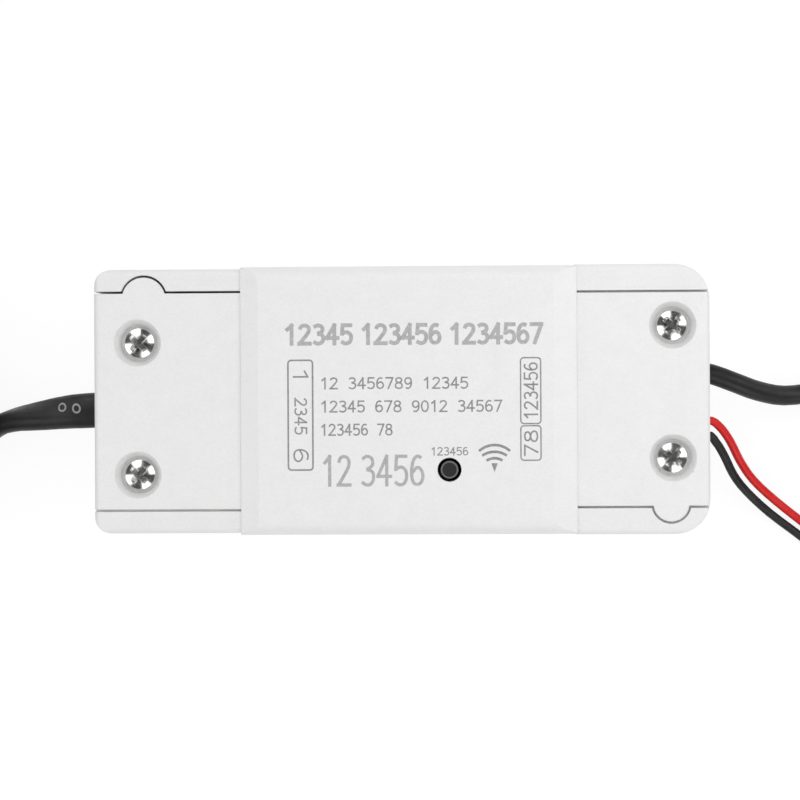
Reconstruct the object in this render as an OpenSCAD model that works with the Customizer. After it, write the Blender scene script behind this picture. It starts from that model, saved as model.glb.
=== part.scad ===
// Garage door controller: a closed relay box with a mains lead at its input end,
// and a relay lead and two door sensor wires at its output end.
// Millimetres. X runs from the input end to the output end, Z is up, and the origin
// is the middle of the underside of the box.

/* [Housing] */
// length of the closed box
body_l = 88; // [86:0.5:92]
// width across the output end
body_w = 38.5; // [38.2:0.1:41]
// height of the centre cover
body_h = 23; // [22.8:0.1:25]
// how much lower the end blocks and the end covers are
step_h = 1.8; // [1.2:0.1:2.2]
// how much narrower the input end is on each side
input_inset = 0.35; // [0:0.05:0.5]
// how much narrower the centre cover is on each side
cover_inset = 0.1; // [0:0.05:0.3]
// corner radius of the input end, seen from above
input_corner_r = 2.6; // [1.5:0.1:3]
// corner radius of the output end, seen from above
output_corner_r = 5.2; // [4:0.1:5.6]
// length of the input end cover
input_cover_l = 21.5; // [21:0.1:22.5]
// length of the output end cover
output_cover_l = 19.3; // [18:0.1:19.6]
// width of the strips beside the input end cover
input_strip_w = 3.15; // [3:0.05:3.4]
// width of the strips beside the output end cover
output_strip_w = 3.75; // [3.5:0.05:3.9]
// rounding of the outer edges of the end blocks
edge_r = 1; // [0.5:0.1:1.2]
// rounding along the top of the centre cover
cover_edge_r = 2.3; // [1:0.1:2.8]
// length of the centre cover's slope at the input end
input_slope_l = 2.2; // [1.5:0.1:4]
// length of the centre cover's slope at the output end
output_slope_l = 3; // [1.5:0.1:4]
// how far the centre cover laps over the end covers
lap = 0.4; // [0.2:0.1:0.8]
// gap under that lap
lap_gap = 0.05; // [0.05:0.05:0.1]
// thickness of the lap at its edge
lap_t = 0.25; // [0.2:0.05:0.4]
// gap round the end covers
seam = 0.3; // [0.2:0.05:0.45]
// gap between parts that slide into each other
fit = 0.15; // [0.1:0.05:0.25]

/* [Walls] */
// thickness of the base floor
floor_t = 1.8; // [1.4:0.1:2.2]
// thickness of the end walls
end_wall_t = 1.8; // [1.4:0.1:2]
// thickness of the end cover plates
plate_t = 2; // [1.6:0.1:2.4]
// thickness of the centre cover's top
top_t = 1.8; // [1.4:0.1:2]
// thickness of the centre cover's skirt
skirt_t = 1.6; // [1.3:0.1:1.8]
// thickness of the base wall behind the skirt
inner_wall_t = 1.35; // [1:0.05:1.6]
// height of the ledge that the skirt stands on
ledge_h = 6.2; // [5:0.1:7]
// height of the joint between base and end covers, where the leads come out
split_h = 8.5; // [8.2:0.1:9.5]
// how far the base wall behind the skirt stays below the end covers
wall_drop = 2.6; // [2.3:0.1:4]
// length of the tongue that each end cover slides under the centre cover
tongue_l = 2.2; // [1:0.1:3]
// thickness of the tongue
tongue_t = 1.4; // [1:0.1:2]
// how far the tongue's sides lie inside those of its cover
tongue_in = 3.3; // [2:0.1:7]
// distance from the end to the ribs that grip the leads
rib_in = 3; // [2.5:0.1:4]
// thickness of those ribs
rib_t = 1.2; // [1:0.1:1.5]
// how far those ribs reach past a lead on both sides together
rib_more = 2; // [1:0.1:3]
// thickness of the braces between the screw bosses and the end walls
brace_t = 1.4; // [1:0.1:1.8]
// how far the tongue reaches under its own cover
tongue_root = 2; // [1.5:0.1:3]
// thickness of the floor of the cups round the screws
cup_floor_t = 1.6; // [1.2:0.1:1.8]
// how far joined parts reach into each other
root = 0.5; // [0.3:0.1:0.8]

/* [Snaps] */
// length of each snap hook
snap_l = 5; // [3:0.5:8]
// how far each snap hook stands inward
snap_reach = 1; // [0.6:0.1:1.2]
// height of each snap hook
snap_h = 2; // [1.5:0.1:3]
// share of each snap hook's height that slopes
snap_slope = 0.7; // [0.4:0.05:0.8]
// level of the underside of the snap hooks
snap_z = 12.6; // [10:0.1:14]
// distance of the snap hooks from the middle of the centre cover
snap_out = 13; // [8:0.5:16]
// gap round each snap hook in its window
snap_gap = 0.3; // [0.2:0.05:0.4]

/* [Screws and mounting] */
// distance of the input cover screws from the input end
input_screw_in = 6.3; // [6:0.1:8]
// distance of the output cover screws from the output end
output_screw_in = 5.3; // [5:0.1:5.6]
// distance from the side of the box to the screw that is nearer to its ear
screw_near_in = 10.85; // [10.5:0.05:11]
// distance from the side of the box to the screw that is further from its ear
screw_far_in = 8.75; // [8.4:0.05:9.5]
// diameter of the screw heads
head_d = 4.7; // [4.2:0.1:5]
// height of the screw heads
head_h = 1.5; // [1.2:0.1:1.9]
// radius of the dome on the screw heads
head_dome_r = 3.2; // [2.8:0.1:5]
// diameter of the screw shanks
shank_d = 2.5; // [2:0.1:2.8]
// length of the screw shanks
shank_l = 14; // [12:0.5:15]
// diameter of the cross recess at the top of the head
cross_d = 3.3; // [2:0.1:3.6]
// diameter of the cross recess at its bottom
cross_floor_d = 0.5; // [0.4:0.1:1.4]
// width of each arm of the cross recess
cross_w = 0.75; // [0.5:0.05:0.9]
// depth of the cross recess
cross_depth = 2.4; // [1.2:0.1:2.6]
// turn of the cross recess
cross_turn = 45; // [0:5:90]
// diameter of the dished recess at the top of the end covers
recess_d = 6.7; // [6:0.1:7]
// diameter of the floor of the recess
recess_floor_d = 5.2; // [5.1:0.1:5.6]
// depth of the recess
recess_depth = 2.2; // [2:0.1:2.6]
// diameter of the screw bosses and of the tubes above them
boss_d = 5; // [4.6:0.1:5.1]
// diameter of the cup round each recess
cup_d = 7.8; // [7.5:0.1:8]
// radius of the input cover's ear
input_ear_r = 3.1; // [2.6:0.1:3.2]
// radius of the output cover's ear
output_ear_r = 2.55; // [2.4:0.05:2.7]
// distance of the input ear from the input end
input_ear_in = 7.2; // [7:0.1:8]
// distance of the output ear from the output end
output_ear_in = 5.6; // [5.3:0.1:5.8]
// how far the input ear's middle lies inside the opening's edge
input_ear_set = 1.1; // [1:0.05:2]
// how far the output ear's middle lies inside the opening's edge
output_ear_set = 0.6; // [0.5:0.05:1.5]
// diameter of the wall screw holes under the ears
wall_hole_d = 3.6; // [3.2:0.1:4]

/* [Button] */
// diameter of the pairing button
button_d = 2.5; // [2.3:0.1:3]
// running gap round the button
button_gap = 0.45; // [0.3:0.05:0.5]
// how far the button lies below the cover's top
button_sink = 0.35; // [0.1:0.05:0.8]
// travel of the button
button_travel = 0.5; // [0.3:0.05:0.5]
// place of the button along the box, from the middle of the room between the terminals
button_along = 6.2; // [5.8:0.1:6.6]
// place of the button across the box
button_across = -9.9; // [-10.5:0.1:-9.5]
// width of the bevel round the button's top
button_bevel_w = 0.22; // [0.1:0.02:0.4]
// height of the bevel round the button's top
button_bevel_h = 0.2; // [0.1:0.05:0.4]
// gap that the button leaves under itself when it is pressed
button_rest = 0.1; // [0.05:0.05:0.2]
// diameter of the flange that keeps the button in its switch
flange_d = 4.4; // [4.3:0.1:4.6]
// thickness of the flange
flange_t = 1.2; // [0.8:0.1:1.2]
// side of the switch body
switch_w = 6; // [5.8:0.1:6.4]
// height of the switch body
switch_h = 3.6; // [3.5:0.1:4]
// diameter of the well in the switch body
switch_well_d = 5.1; // [5:0.1:5.2]
// thickness of the floor of the switch body
switch_floor_t = 1.2; // [1:0.1:1.3]
// thickness of the steel plate on the switch body
switch_plate_t = 0.3; // [0.2:0.05:0.5]
// how much smaller the steel plate is than the switch body
switch_plate_in = 0.2; // [0.1:0.1:0.6]
// width, thickness and height of the switch legs
switch_leg = [0.7, 0.3, 2]; // [0.2:0.1:2.4]
// distance between the switch legs of one side
switch_leg_pitch = 4.5; // [4:0.1:5]
// depth of the collar round the button hole
collar_h = 2; // [1:0.1:3]
// wall of the collar round the button hole
collar_t = 1; // [0.8:0.1:1.4]

/* [Circuit board] */
// distance of the board from the input end
board_in = 11.4; // [11.2:0.1:12]
// distance of the board from the output end
board_out = 10.2; // [9.8:0.1:11]
// gap beside the board in the narrower end
board_gap = 0.3; // [0.2:0.05:0.6]
// width of the board that the component sizes are for
usual_board_w = 30.4; // [30:0.1:31]
// room between the terminal blocks that the component sizes are for
usual_room_l = 49; // [48:0.5:50]
// thickness of the board
board_t = 1.6; // [1.2:0.1:1.6]
// height of the posts under the board
post_h = 2; // [1.6:0.1:2.4]
// diameter of the posts under the board
post_d = 3.6; // [3:0.1:4]
// diameter of the pegs that hold the board
peg_d = 1.8; // [1.4:0.1:2]
// diameter of the flattened heads on the pegs
peg_head_d = 2.8; // [2.4:0.1:3]
// thickness of the flattened heads on the pegs
peg_head_t = 0.6; // [0.4:0.1:0.8]
// distance of the pegs from the board's ends
peg_in = 2.6; // [2.2:0.1:3]
// distance of the pegs from the board's long edges
peg_side = 2.6; // [2.2:0.1:3]
// least gap between the pegs and the terminal blocks
peg_clear = 0.2; // [0.2:0.1:0.5]
// gap round each peg in the board
peg_gap = 0.1; // [0.05:0.05:0.15]

/* [Components] */
// length and width of the relay
relay_size = [19, 15.4]; // [10:0.1:20]
// gap between the relay and the centre cover
relay_gap = 0.6; // [0.4:0.1:1]
// corner radius of the relay
relay_corner_r = 0.8; // [0.4:0.1:1.2]
// width, depth and height of the transformer core
core_size = [13, 5.6, 11.2]; // [5:0.1:14]
// thickness of the core's outer legs and of its top and bottom
core_leg = 2.6; // [2:0.1:3]
// thickness of the core's middle leg
core_mid = 3.2; // [2.6:0.1:3.6]
// thickness of the transformer's winding in front of the core
winding_t = 2.6; // [1.5:0.1:3]
// corner radius of the transformer's winding
winding_r = 1; // [0.5:0.1:1.5]
// length, width and height of the transformer's foot
foot_size = [13.4, 11.4, 2.2]; // [2:0.1:14]
// diameter of the input capacitor
input_can_d = 8; // [6:0.1:8.4]
// height of the input capacitor
input_can_h = 12; // [8:0.5:14]
// diameter of the output capacitor
output_can_d = 6.3; // [5:0.1:6.6]
// height of the output capacitor
output_can_h = 11; // [8:0.5:14]
// diameter of the varistor
varistor_d = 7; // [5:0.1:7.6]
// thickness of the varistor
varistor_t = 3.5; // [2.5:0.1:4]
// diameter of the fuse resistor's body
fuse_d = 3.2; // [2.4:0.1:3.6]
// length of the fuse resistor's body
fuse_l = 8; // [6:0.1:9]
// diameter of the wire legs
leg_d = 0.6; // [0.5:0.1:0.8]
// length, width and height of the bridge rectifier
bridge_size = [4.8, 6.4, 2.4]; // [2:0.1:7]
// diameter of the filter inductor
inductor_d = 6; // [5:0.1:6.4]
// height of the filter inductor
inductor_h = 7; // [5:0.1:9]
// length, width and thickness of the radio board
radio_size = [13.6, 11, 0.8]; // [0.6:0.1:15]
// length, width and height of the radio shield
shield_size = [8.6, 9.4, 2.2]; // [1.5:0.1:10]
// length, width and height of the status light
led_size = [2, 1.25, 0.8]; // [0.5:0.05:2.5]

/* [Terminals] */
// depth of the terminal blocks along the box
terminal_l = 8.2; // [7.6:0.1:8.6]
// distance between neighbouring terminals
terminal_pitch = 5.08; // [5:0.01:5.1]
// height of the terminal blocks
terminal_h = 10; // [9:0.1:11]
// diameter of the wire holes
terminal_hole_d = 2.6; // [2.4:0.1:3]
// depth of the wire holes
terminal_hole_l = 3; // [2.5:0.1:3.4]
// diameter of the terminal screws
terminal_screw_d = 3.4; // [3:0.1:3.6]
// depth of the screw wells
terminal_well_l = 3.2; // [2.8:0.1:3.6]
// gap round each terminal screw
terminal_gap = 0.2; // [0.15:0.05:0.3]
// how far the terminal screws lie below the top
terminal_screw_sink = 0.6; // [0.3:0.1:1]
// width of the slots in the terminal screws
terminal_slot_w = 0.7; // [0.5:0.1:0.9]
// depth of the slots in the terminal screws
terminal_slot_depth = 0.9; // [0.6:0.1:1.1]
// gap between the two terminals at the output end
terminal_apart = 0.24; // [0.2:0.02:0.4]
// distance of the input terminal from the board's input edge
input_terminal_in = 0.6; // [0.4:0.1:1]
// distance of the output terminals from the board's output edge
output_terminal_in = 0.4; // [0.3:0.1:1]

/* [Leads] */
// width of the flat mains lead
mains_w = 5.2; // [5:0.1:5.4]
// thickness of the flat mains lead
mains_t = 3.2; // [3:0.1:3.4]
// diameter of the relay lead
relay_lead_d = 3; // [2.8:0.1:3.1]
// diameter of the sensor wires
sensor_d = 1.3; // [1.2:0.05:1.35]
// gap round a lead in the end wall
lead_gap = 0.1; // [0.05:0.05:0.15]
// sideways place of the mains lead
mains_y = -1.2; // [-1.4:0.1:-0.8]
// sideways place of the relay lead
relay_lead_y = 3.8; // [3.4:0.1:4]
// gap between the black sensor wire and the screw boss beside it
wire_gap = 0.05; // [0.05:0.05:0.15]
// distance between the two sensor wires where they come out
wire_step = 2.1; // [1.8:0.1:2.3]
// diameter of the mains lead's cores
mains_core_d = 1.9; // [1.6:0.1:2]
// diameter of the relay lead's cores
relay_core_d = 1.2; // [1:0.1:1.3]
// length of the straight end of a core before its terminal
core_run = 0.6; // [0.4:0.1:1]
// diameter of the stripped tips of the relay lead
tip_d = 0.8; // [0.6:0.1:0.9]
// outer radius of the mains lead's coil
mains_coil_r = 31.5; // [30:0.5:32]
// outer radius of the relay lead's coil
relay_coil_r = 19.3; // [18:0.1:20]
// outer radius of the sensor wires' coil
sensor_coil_r = 16.8; // [16:0.1:17.5]
// gap between neighbouring turns of a coil
coil_gap = 0.5; // [0.45:0.05:0.6]
// further gap between neighbouring turns of the thin wires
thin_gap = 0.05; // [0:0.05:0.1]
// height of the coils above the floor
coil_lift = 1; // [1:0.1:1.2]
// thickness of the strips that are closed on the coils
tie_t = 0.8; // [0.6:0.1:0.8]
// width of those strips
tie_w = 3.6; // [2.5:0.1:5]
// gap between a strip and its coil
tie_gap = 0.2; // [0.1:0.05:0.3]

/* [Plug and door sensor] */
// length of the ribbed sleeve of the plug
plug_relief_l = 12; // [10:0.5:14]
// diameter of the ribbed sleeve at the lead
plug_relief_d = 6.2; // [6:0.1:7]
// diameter of the ribbed sleeve at the plug
plug_sleeve_d = 8; // [7.5:0.1:8.5]
// diameter of the grooves in the sleeve
plug_groove_d = 5.6; // [5.4:0.1:6]
// width of those grooves
plug_groove_w = 0.8; // [0.6:0.1:1]
// distance between those grooves
plug_groove_step = 2.4; // [2:0.1:2.6]
// length of the plug's body
plug_body_l = 20; // [18:0.5:22]
// width of the plug's body
plug_w = 22; // [20:0.5:24]
// height of the plug's body
plug_h = 13; // [12:0.5:14]
// width of the plug's body at the sleeve
plug_neck_w = 14; // [12:0.5:16]
// height of the plug's body at the sleeve
plug_neck_h = 9; // [8.5:0.5:10]
// length over which the plug's body widens
plug_shoulder = 8; // [6:0.5:10]
// rounding of the plug's long edges
plug_edge_r = 4; // [2:0.5:4]
// length, thickness and height of the plug's blades
blade_size = [16, 1.5, 6.3]; // [1:0.1:17]
// distance between the middles of the blades
blade_pitch = 12.7; // [12.5:0.1:12.9]
// length, width and height of the door sensor
sensor_size = [27, 14, 8]; // [6:0.5:30]
// corner radius of the door sensor
sensor_corner_r = 1.5; // [1:0.1:2.5]
// rounding along the top of the door sensor
sensor_edge_r = 1.2; // [0.5:0.1:2]
// diameter of the screw holes in the door sensor
sensor_hole_d = 3.4; // [3.2:0.1:3.6]
// distance of those holes from its ends
sensor_hole_in = 4; // [3.6:0.1:4.5]

/* [Hidden] */
$fn = 48;
half_l = body_l / 2;
end_h = body_h - step_h;
output_half = body_w / 2;
input_half = output_half - input_inset;
cover_half = output_half - cover_inset;
input_open = input_half - input_strip_w;
output_open = output_half - output_strip_w;
cover_x0 = -half_l + input_cover_l;
cover_x1 = half_l - output_cover_l;
cover_mid = (cover_x0 + cover_x1) / 2;
lap_z = end_h + lap_gap;
skirt_in = cover_half - skirt_t;
wall_out = skirt_in - fit;
wall_in = wall_out - inner_wall_t;
wall_top = end_h - wall_drop;
plate_z = end_h - plate_t;
tongue_top = end_h - top_t - fit;
recess_z = end_h - recess_depth;
shank_hole_d = shank_d + 2 * fit;
pilot_gap = 0.1;
pilot_d = shank_d + pilot_gap;
pilot_l = shank_l - (recess_z - split_h) + root;
// length that a cut goes past the face it cuts
past = 1;
// places on the end covers: distance from the end, sideways place
screw_near_y = output_half - screw_near_in;
screw_far_y = output_half - screw_far_in;
input_screws = [[input_screw_in, screw_near_y], [input_screw_in, -screw_far_y]];
output_screws = [[output_screw_in, screw_far_y], [output_screw_in, -screw_near_y]];
input_ear = [input_ear_in, input_open - input_ear_set];
output_ear = [output_ear_in, output_ear_set - output_open];
// levels and edges of the circuit board
board_x0 = -half_l + board_in;
board_x1 = half_l - board_out;
board_half = min(input_open, output_open) - board_gap;
board_w = 2 * board_half;
board_z = floor_t + post_h;
board_top = board_z + board_t;
// terminal blocks: wire face, middle
input_terminal_x = board_x0 + input_terminal_in;
output_terminal_x = board_x1 - output_terminal_in;
output_terminal_y = terminal_pitch + terminal_apart / 2;
sensor_terminal_y = -output_terminal_y;
peg_y = max(board_half - peg_side, output_terminal_y + terminal_pitch + peg_head_d / 2 + peg_clear);
pegs = [for (x = [board_x0 + peg_in, board_x1 - peg_in]) for (y = [-peg_y, peg_y]) [x, y]];
// room between the terminal blocks, and how much it differs from the usual one
room_x0 = input_terminal_x + terminal_l;
room_x1 = output_terminal_x - terminal_l;
room_mid = (room_x0 + room_x1) / 2;
room_h = body_h - top_t - board_top;
squeeze_x = (room_x1 - room_x0) / usual_room_l;
squeeze_y = board_w / usual_board_w;
squeeze = min(1, squeeze_x, squeeze_y);
// components on the board, from the middle of that room
relay_at = [12.2, 6.4];
transformer_at = [-4.3, 6.2];
input_can_at = [-15.7, 9.6];
output_can_at = [-6.3, -9];
varistor_at = [-21.7, -9.4];
fuse_at = [-22.1, 8.2];
bridge_at = [-15.3, -10];
inductor_at = [-15.3, -1];
radio_at = [17.2, -8.8];
led_at = [0.7, -12.6];
button_at = [button_along, button_across];
relay_h = room_h - relay_gap;
// button and switch levels
switch_top = board_top + switch_h;
button_top = body_h - button_sink;
flange_z = board_top + switch_floor_t + button_travel + button_rest;
button_hole_d = button_d + 2 * button_gap;

// Where the leads come out.
black_y = -(screw_near_y - boss_d / 2 - wire_gap - sensor_d / 2);
red_y = black_y + wire_step;
mains_exit = [-half_l, mains_y, split_h];
relay_exit = [half_l, relay_lead_y, split_h];
red_exit = [half_l, red_y, split_h];
black_exit = [half_l, black_y, split_h];
// Ways of the leads, chosen by hand: each point from where its lead comes out, with its twist.
mains_way = [
    [5.5, 0, 0, 0], [0, 0, 0, 0], [-3, -0.1, -0.1, 10], [-6, -0.3, -0.7, 30], [-10, -0.8, -1.9, 55],
    [-14, -1.4, -3.3, 80], [-17.2, -2.6, -4.3, 90], [-20.5, -5.4, -4.8, 90]
];
mains_tail_way = [
    [-21.2, -2.3, 3.3, 90], [-24.5, -8, 6.5, 90], [-30.3, -11.3, 8.7, 90], [-36.9, -11.3, 9.8, 90],
    [-41.9, -8.8, 10, 90], [-44.1, -6.6, 10, 90]
];
relay_lead_way = [
    [-5, 0, 0, 0], [0, 0, 0, 0], [2.5, -0.3, -0.2, 0], [5, -1.1, -1.1, 0], [8, -2.3, -2.7, 0],
    [12, -3.3, -4.9, 0], [17, -2.8, -6.5, 0], [22, -1.2, -7, 0], [28, 0.8, -7, 0], [34, 2, -7, 0],
    [40, 1.4, -7, 0], [45, -0.8, -6.9, 0], [50, -4.6, -6.5, 0]
];
red_way = [
    [-7, 0, 0, 0], [0, 0, 0, 0], [2, -0.8, -0.4, 0], [3.8, -3.1, -1.7, 0], [5.4, -6.1, -3.5, 0],
    [7.5, -9, -5.3, 0], [11, -12.2, -7.1, 0], [16, -16.2, -7.8, 0], [21, -20.4, -7.5, 0]
];
black_way = [
    [-6.6, 0, 0, 0], [0, 0, 0, 0], [1.8, -0.9, -0.4, 0], [3.2, -3, -1.5, 0], [4.5, -5.8, -3.3, 0],
    [6.4, -8.4, -5.1, 0], [10, -11.8, -7.1, 0], [15, -15.6, -7.8, 0], [19, -19.1, -7.5, 0],
    [22.4, -21.4, -6.3, 0]
];
red_tail_way = [[51, -25.5, -3.6, 0], [56, -21.5, -4, 0], [59.5, -19.7, -4.1, 0]];
black_tail_way = [[50, -22.4, -2.3, 0], [55, -18, -3.7, 0], [59.5, -16, -4.1, 0]];
// the two stripped ends of the relay lead, from the end of its coil
end_way = [[0.7, 0, 0], [1.2, 6, -1.2], [2, 11, -3.6], [2.4, 14, -4.8]];
tip_way = [[2.4, 14, -4.8], [2.6, 18, -5.3]];
// Where the plug and the door sensor lie.
plug_at = mains_exit + [-44.1, -6.6, 10];
plug_turn = 135;
sensor_at = [red_exit.x + 59.5, red_exit.y - 18.9, 0];
mains_tie_turn = 315;
relay_tie_turn = 60;
sensor_tie_turn = 0;

// Each coil: middle, first angle, sense, turns, outer radius, pitch, first level, rise.
rings_per_loop = 24;
climb_turns = 0.5;
wire_pitch = sensor_d + coil_gap;
mains_coil = [
    [mains_exit.x - 53, mains_exit.y + 1.2], -30, -1, 141 / rings_per_loop, mains_coil_r,
    mains_t + coil_gap, coil_lift + mains_w / 2, mains_w + coil_gap
];
relay_coil = [
    [relay_exit.x + 67.3, relay_exit.y + 7.2], -120, 1, 128 / rings_per_loop, relay_coil_r,
    relay_lead_d + coil_gap, coil_lift + relay_lead_d / 2, relay_lead_d + coil_gap
];
red_coil = [
    [red_exit.x + 38, red_exit.y - 12.6], -130, 1, 148 / rings_per_loop, sensor_coil_r,
    wire_pitch + thin_gap, coil_lift + sensor_d / 2, 2 * wire_pitch
];
black_coil = [
    red_coil[0], -130, 1, 148 / rings_per_loop, sensor_coil_r,
    wire_pitch + thin_gap, coil_lift + sensor_d / 2 + wire_pitch, 2 * wire_pitch
];

// place on the board of something that is placed from the middle of its room
function spot(p) = [room_mid + p.x * squeeze_x, p.y * squeeze_y];
// points of a way that is given from where its lead comes out
function from_exit(exit, way) = [for (p = way) [exit.x + p[0], exit.y + p[1], exit.z + p[2], p[3]]];
// unit vector
function unit(v) = v / norm(v);
// place of a route point
function place(p) = [p[0], p[1], p[2]];
// soft step from 0 to 1
function smooth(f) = let (c = max(0, min(1, f))) c * c * (3 - 2 * c);
// direction of a route at its point i
function heading(route, i) =
    unit(place(route[min(i + 1, len(route) - 1)]) - place(route[max(i - 1, 0)]));
// one oval ring round a point, square to a direction
function ring(p, dir, half_w, half_h, sides) =
    let (side = unit(cross([0, 0, 1], dir)), up = cross(dir, side), twist = len(p) > 3 ? p[3] : 0)
    [for (k = [0 : sides - 1])
        let (a = 360 * k / sides, u = half_w * cos(a), v = half_h * sin(a))
        place(p) + side * (u * cos(twist) - v * sin(twist)) + up * (u * sin(twist) + v * cos(twist))];

// place on a coil after u turns
function coil_at(c, u) =
    let (half = c[3] / 2, r = c[4] - c[5] * (half - abs(u - half)), a = c[1] + c[2] * 360 * u)
    [c[0].x + r * cos(a), c[0].y + r * sin(a), c[6] + c[7] * smooth((u - half) / climb_turns + 0.5)];
// direction of a coil after u turns
function coil_dir(c, u) =
    let (a = c[1] + c[2] * 360 * u)
    c[2] * [-sin(a), cos(a), 0];
// the two ends of a coil, each after a straight run
function coil_start(c, run) = coil_at(c, 0) - run * coil_dir(c, 0);
function coil_end(c, run) = coil_at(c, c[3]) + run * coil_dir(c, c[3]);
// all turns of a coil without its straight runs
function coil_turns(c) =
    let (n = round(c[3] * rings_per_loop))
    [for (i = [0 : n]) coil_at(c, c[3] * i / n)];
// least gap between turns of one coil, or of two coils wound together
function turn_gap(p, q, w, h) =
    let (way = [norm([p.x - q.x, p.y - q.y]), p.z - q.z], n = unit(way))
    norm(way) - norm([w * n.x, h * n.y]);
function least_gap(a, b, w, h, skip) =
    min([for (i = [0 : len(a) - 1]) for (j = [i + skip : 1 : len(b) - 1]) turn_gap(a[i], b[j], w, h)]);

mains_route = from_exit(mains_exit, mains_way);
mains_tail_route = from_exit(mains_exit, mains_tail_way);
relay_lead_route = from_exit(relay_exit, relay_lead_way);
red_route = from_exit(red_exit, red_way);
black_route = from_exit(black_exit, black_way);
red_tail_route = from_exit(red_exit, red_tail_way);
black_tail_route = from_exit(black_exit, black_tail_way);
mains_turns = coil_turns(mains_coil);
relay_turns = coil_turns(relay_coil);
red_turns = coil_turns(red_coil);
black_turns = coil_turns(black_coil);
half_loop = rings_per_loop / 2;
echo(mains_coil_gap = least_gap(mains_turns, mains_turns, mains_t, mains_w, half_loop));
echo(relay_coil_gap = least_gap(relay_turns, relay_turns, relay_lead_d, relay_lead_d, half_loop));
echo(red_coil_gap = least_gap(red_turns, red_turns, sensor_d, sensor_d, half_loop));
echo(black_over_red_gap = least_gap(black_turns, red_turns, sensor_d, sensor_d, 0));
echo(red_under_black_gap = least_gap(red_turns, black_turns, sensor_d, sensor_d, 0));

// closed skin over a row of rings
module skin(rings) {
    sides = len(rings[0]);
    last = (len(rings) - 1) * sides;
    walls = [for (i = [0 : len(rings) - 2]) for (k = [0 : sides - 1])
        let (a = i * sides + k, b = i * sides + (k + 1) % sides)
        each [[a, a + sides, b + sides], [a, b + sides, b]]];
    first_cap = [for (k = [1 : sides - 2]) [0, k, k + 1]];
    last_cap = [for (k = [1 : sides - 2]) [last, last + k + 1, last + k]];
    polyhedron([for (r = rings) each r], concat(first_cap, walls, last_cap));
}

// tube along a route; the end directions can be given
module tube(route, w, h, sides, first_dir = undef, last_dir = undef) {
    last = len(route) - 1;
    skin([for (i = [0 : last])
        let (dir = i == 0 && !is_undef(first_dir) ? first_dir
            : i == last && !is_undef(last_dir) ? last_dir
            : heading(route, i))
        ring(route[i], dir, w / 2, h / 2, sides)]);
}

// one unbroken tube wound into a coil
module wound_tube(c, w, h, run) {
    tube(concat([coil_start(c, run)], coil_turns(c), [coil_end(c, run)]), w, h, 6);
}

// strip closed round the turns of a coil
module coil_tie(c, w, h, levels, angle) {
    r0 = c[4] - c[5] * c[3] / 2 - w / 2 - tie_gap;
    r1 = c[4] + w / 2 + tie_gap;
    top = c[6] + levels + h / 2 + tie_gap;
    low = c[6] - h / 2 - tie_gap;
    translate([c[0].x, c[0].y, 0]) rotate([0, 0, angle]) difference() {
        translate([r0 - tie_t, -tie_w / 2, low - tie_t])
            cube([r1 - r0 + 2 * tie_t, tie_w, top - low + 2 * tie_t]);
        translate([r0, -tie_w, low]) cube([r1 - r0, 2 * tie_w, top - low]);
    }
}

module at_input() {
    translate([-half_l, 0, 0]) children();
}

module at_output() {
    translate([half_l, 0, 0]) mirror([1, 0, 0]) children();
}

// solid whose outline across the box runs along X
module along_x(length) {
    rotate([90, 0, 90]) linear_extrude(length) children();
}

// solid whose outline along the box runs from -half to half
module along_y(half) {
    translate([0, half, 0]) rotate([90, 0, 0]) linear_extrude(2 * half) children();
}

// outline across the box, with rounded lower and upper corners
module slab_outline(half, z0, z1, r0, r1) {
    translate([-half, z0 + r0]) square([2 * half, z1 - z0 - r0 - r1]);
    if (r0 > 0) {
        translate([r0 - half, z0]) square([2 * (half - r0), 2 * r0]);
        for (s = [-1, 1]) translate([s * (half - r0), z0 + r0]) circle(r0);
    }
    if (r1 > 0) {
        translate([r1 - half, z1 - 2 * r1]) square([2 * (half - r1), 2 * r1]);
        for (s = [-1, 1]) translate([s * (half - r1), z1 - r1]) circle(r1);
    }
}

// outline of an end block from above; its outer end is at x = 0
module end_plan(half, length, r) {
    translate([r, -half]) square([length - r, 2 * half]);
    translate([0, r - half]) square([2 * r, 2 * (half - r)]);
    for (s = [-1, 1]) translate([r, s * (half - r)]) circle(r);
}

// outline of an end block from the side
module end_side(length, r) {
    translate([r, 0]) square([length - r, end_h]);
    translate([0, r]) square([2 * r, end_h - 2 * r]);
    for (z = [r, end_h - r]) translate([r, z]) circle(r);
}

// outer form of an end block with its cover
module end_form(half, length, r) {
    intersection() {
        linear_extrude(end_h) end_plan(half, length, r);
        along_x(length) slab_outline(half, 0, end_h, edge_r, edge_r);
        along_y(half) end_side(length, edge_r);
    }
}

// room inside an end block, with the well under the ear
module end_room(open, length, ear, ear_r) {
    translate([end_wall_t, -open, floor_t]) cube([length - end_wall_t + past, 2 * open, body_h]);
    translate([-past, -open, split_h]) cube([end_wall_t + 2 * past, 2 * open, body_h]);
    translate([ear.x, ear.y, floor_t]) cylinder(r = ear_r + seam, h = body_h);
    translate([ear.x, ear.y, -past]) cylinder(d = wall_hole_d, h = floor_t + 2 * past);
}

// flat or round hole for a lead in an end wall
module lead_hole(y, w, t) {
    translate([-past, y, split_h]) along_x(end_wall_t + 2 * past) {
        if (w > t) square([w - t, t + 2 * lead_gap], center = true);
        for (s = [-1, 1]) translate([s * (w - t) / 2, 0]) circle(d = t + 2 * lead_gap);
    }
}

module input_lead_holes() {
    lead_hole(mains_y, mains_w, mains_t);
}

module output_lead_holes() {
    lead_hole(relay_lead_y, relay_lead_d, relay_lead_d);
    lead_hole(red_y, sensor_d, sensor_d);
    lead_hole(black_y, sensor_d, sensor_d);
}

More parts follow.
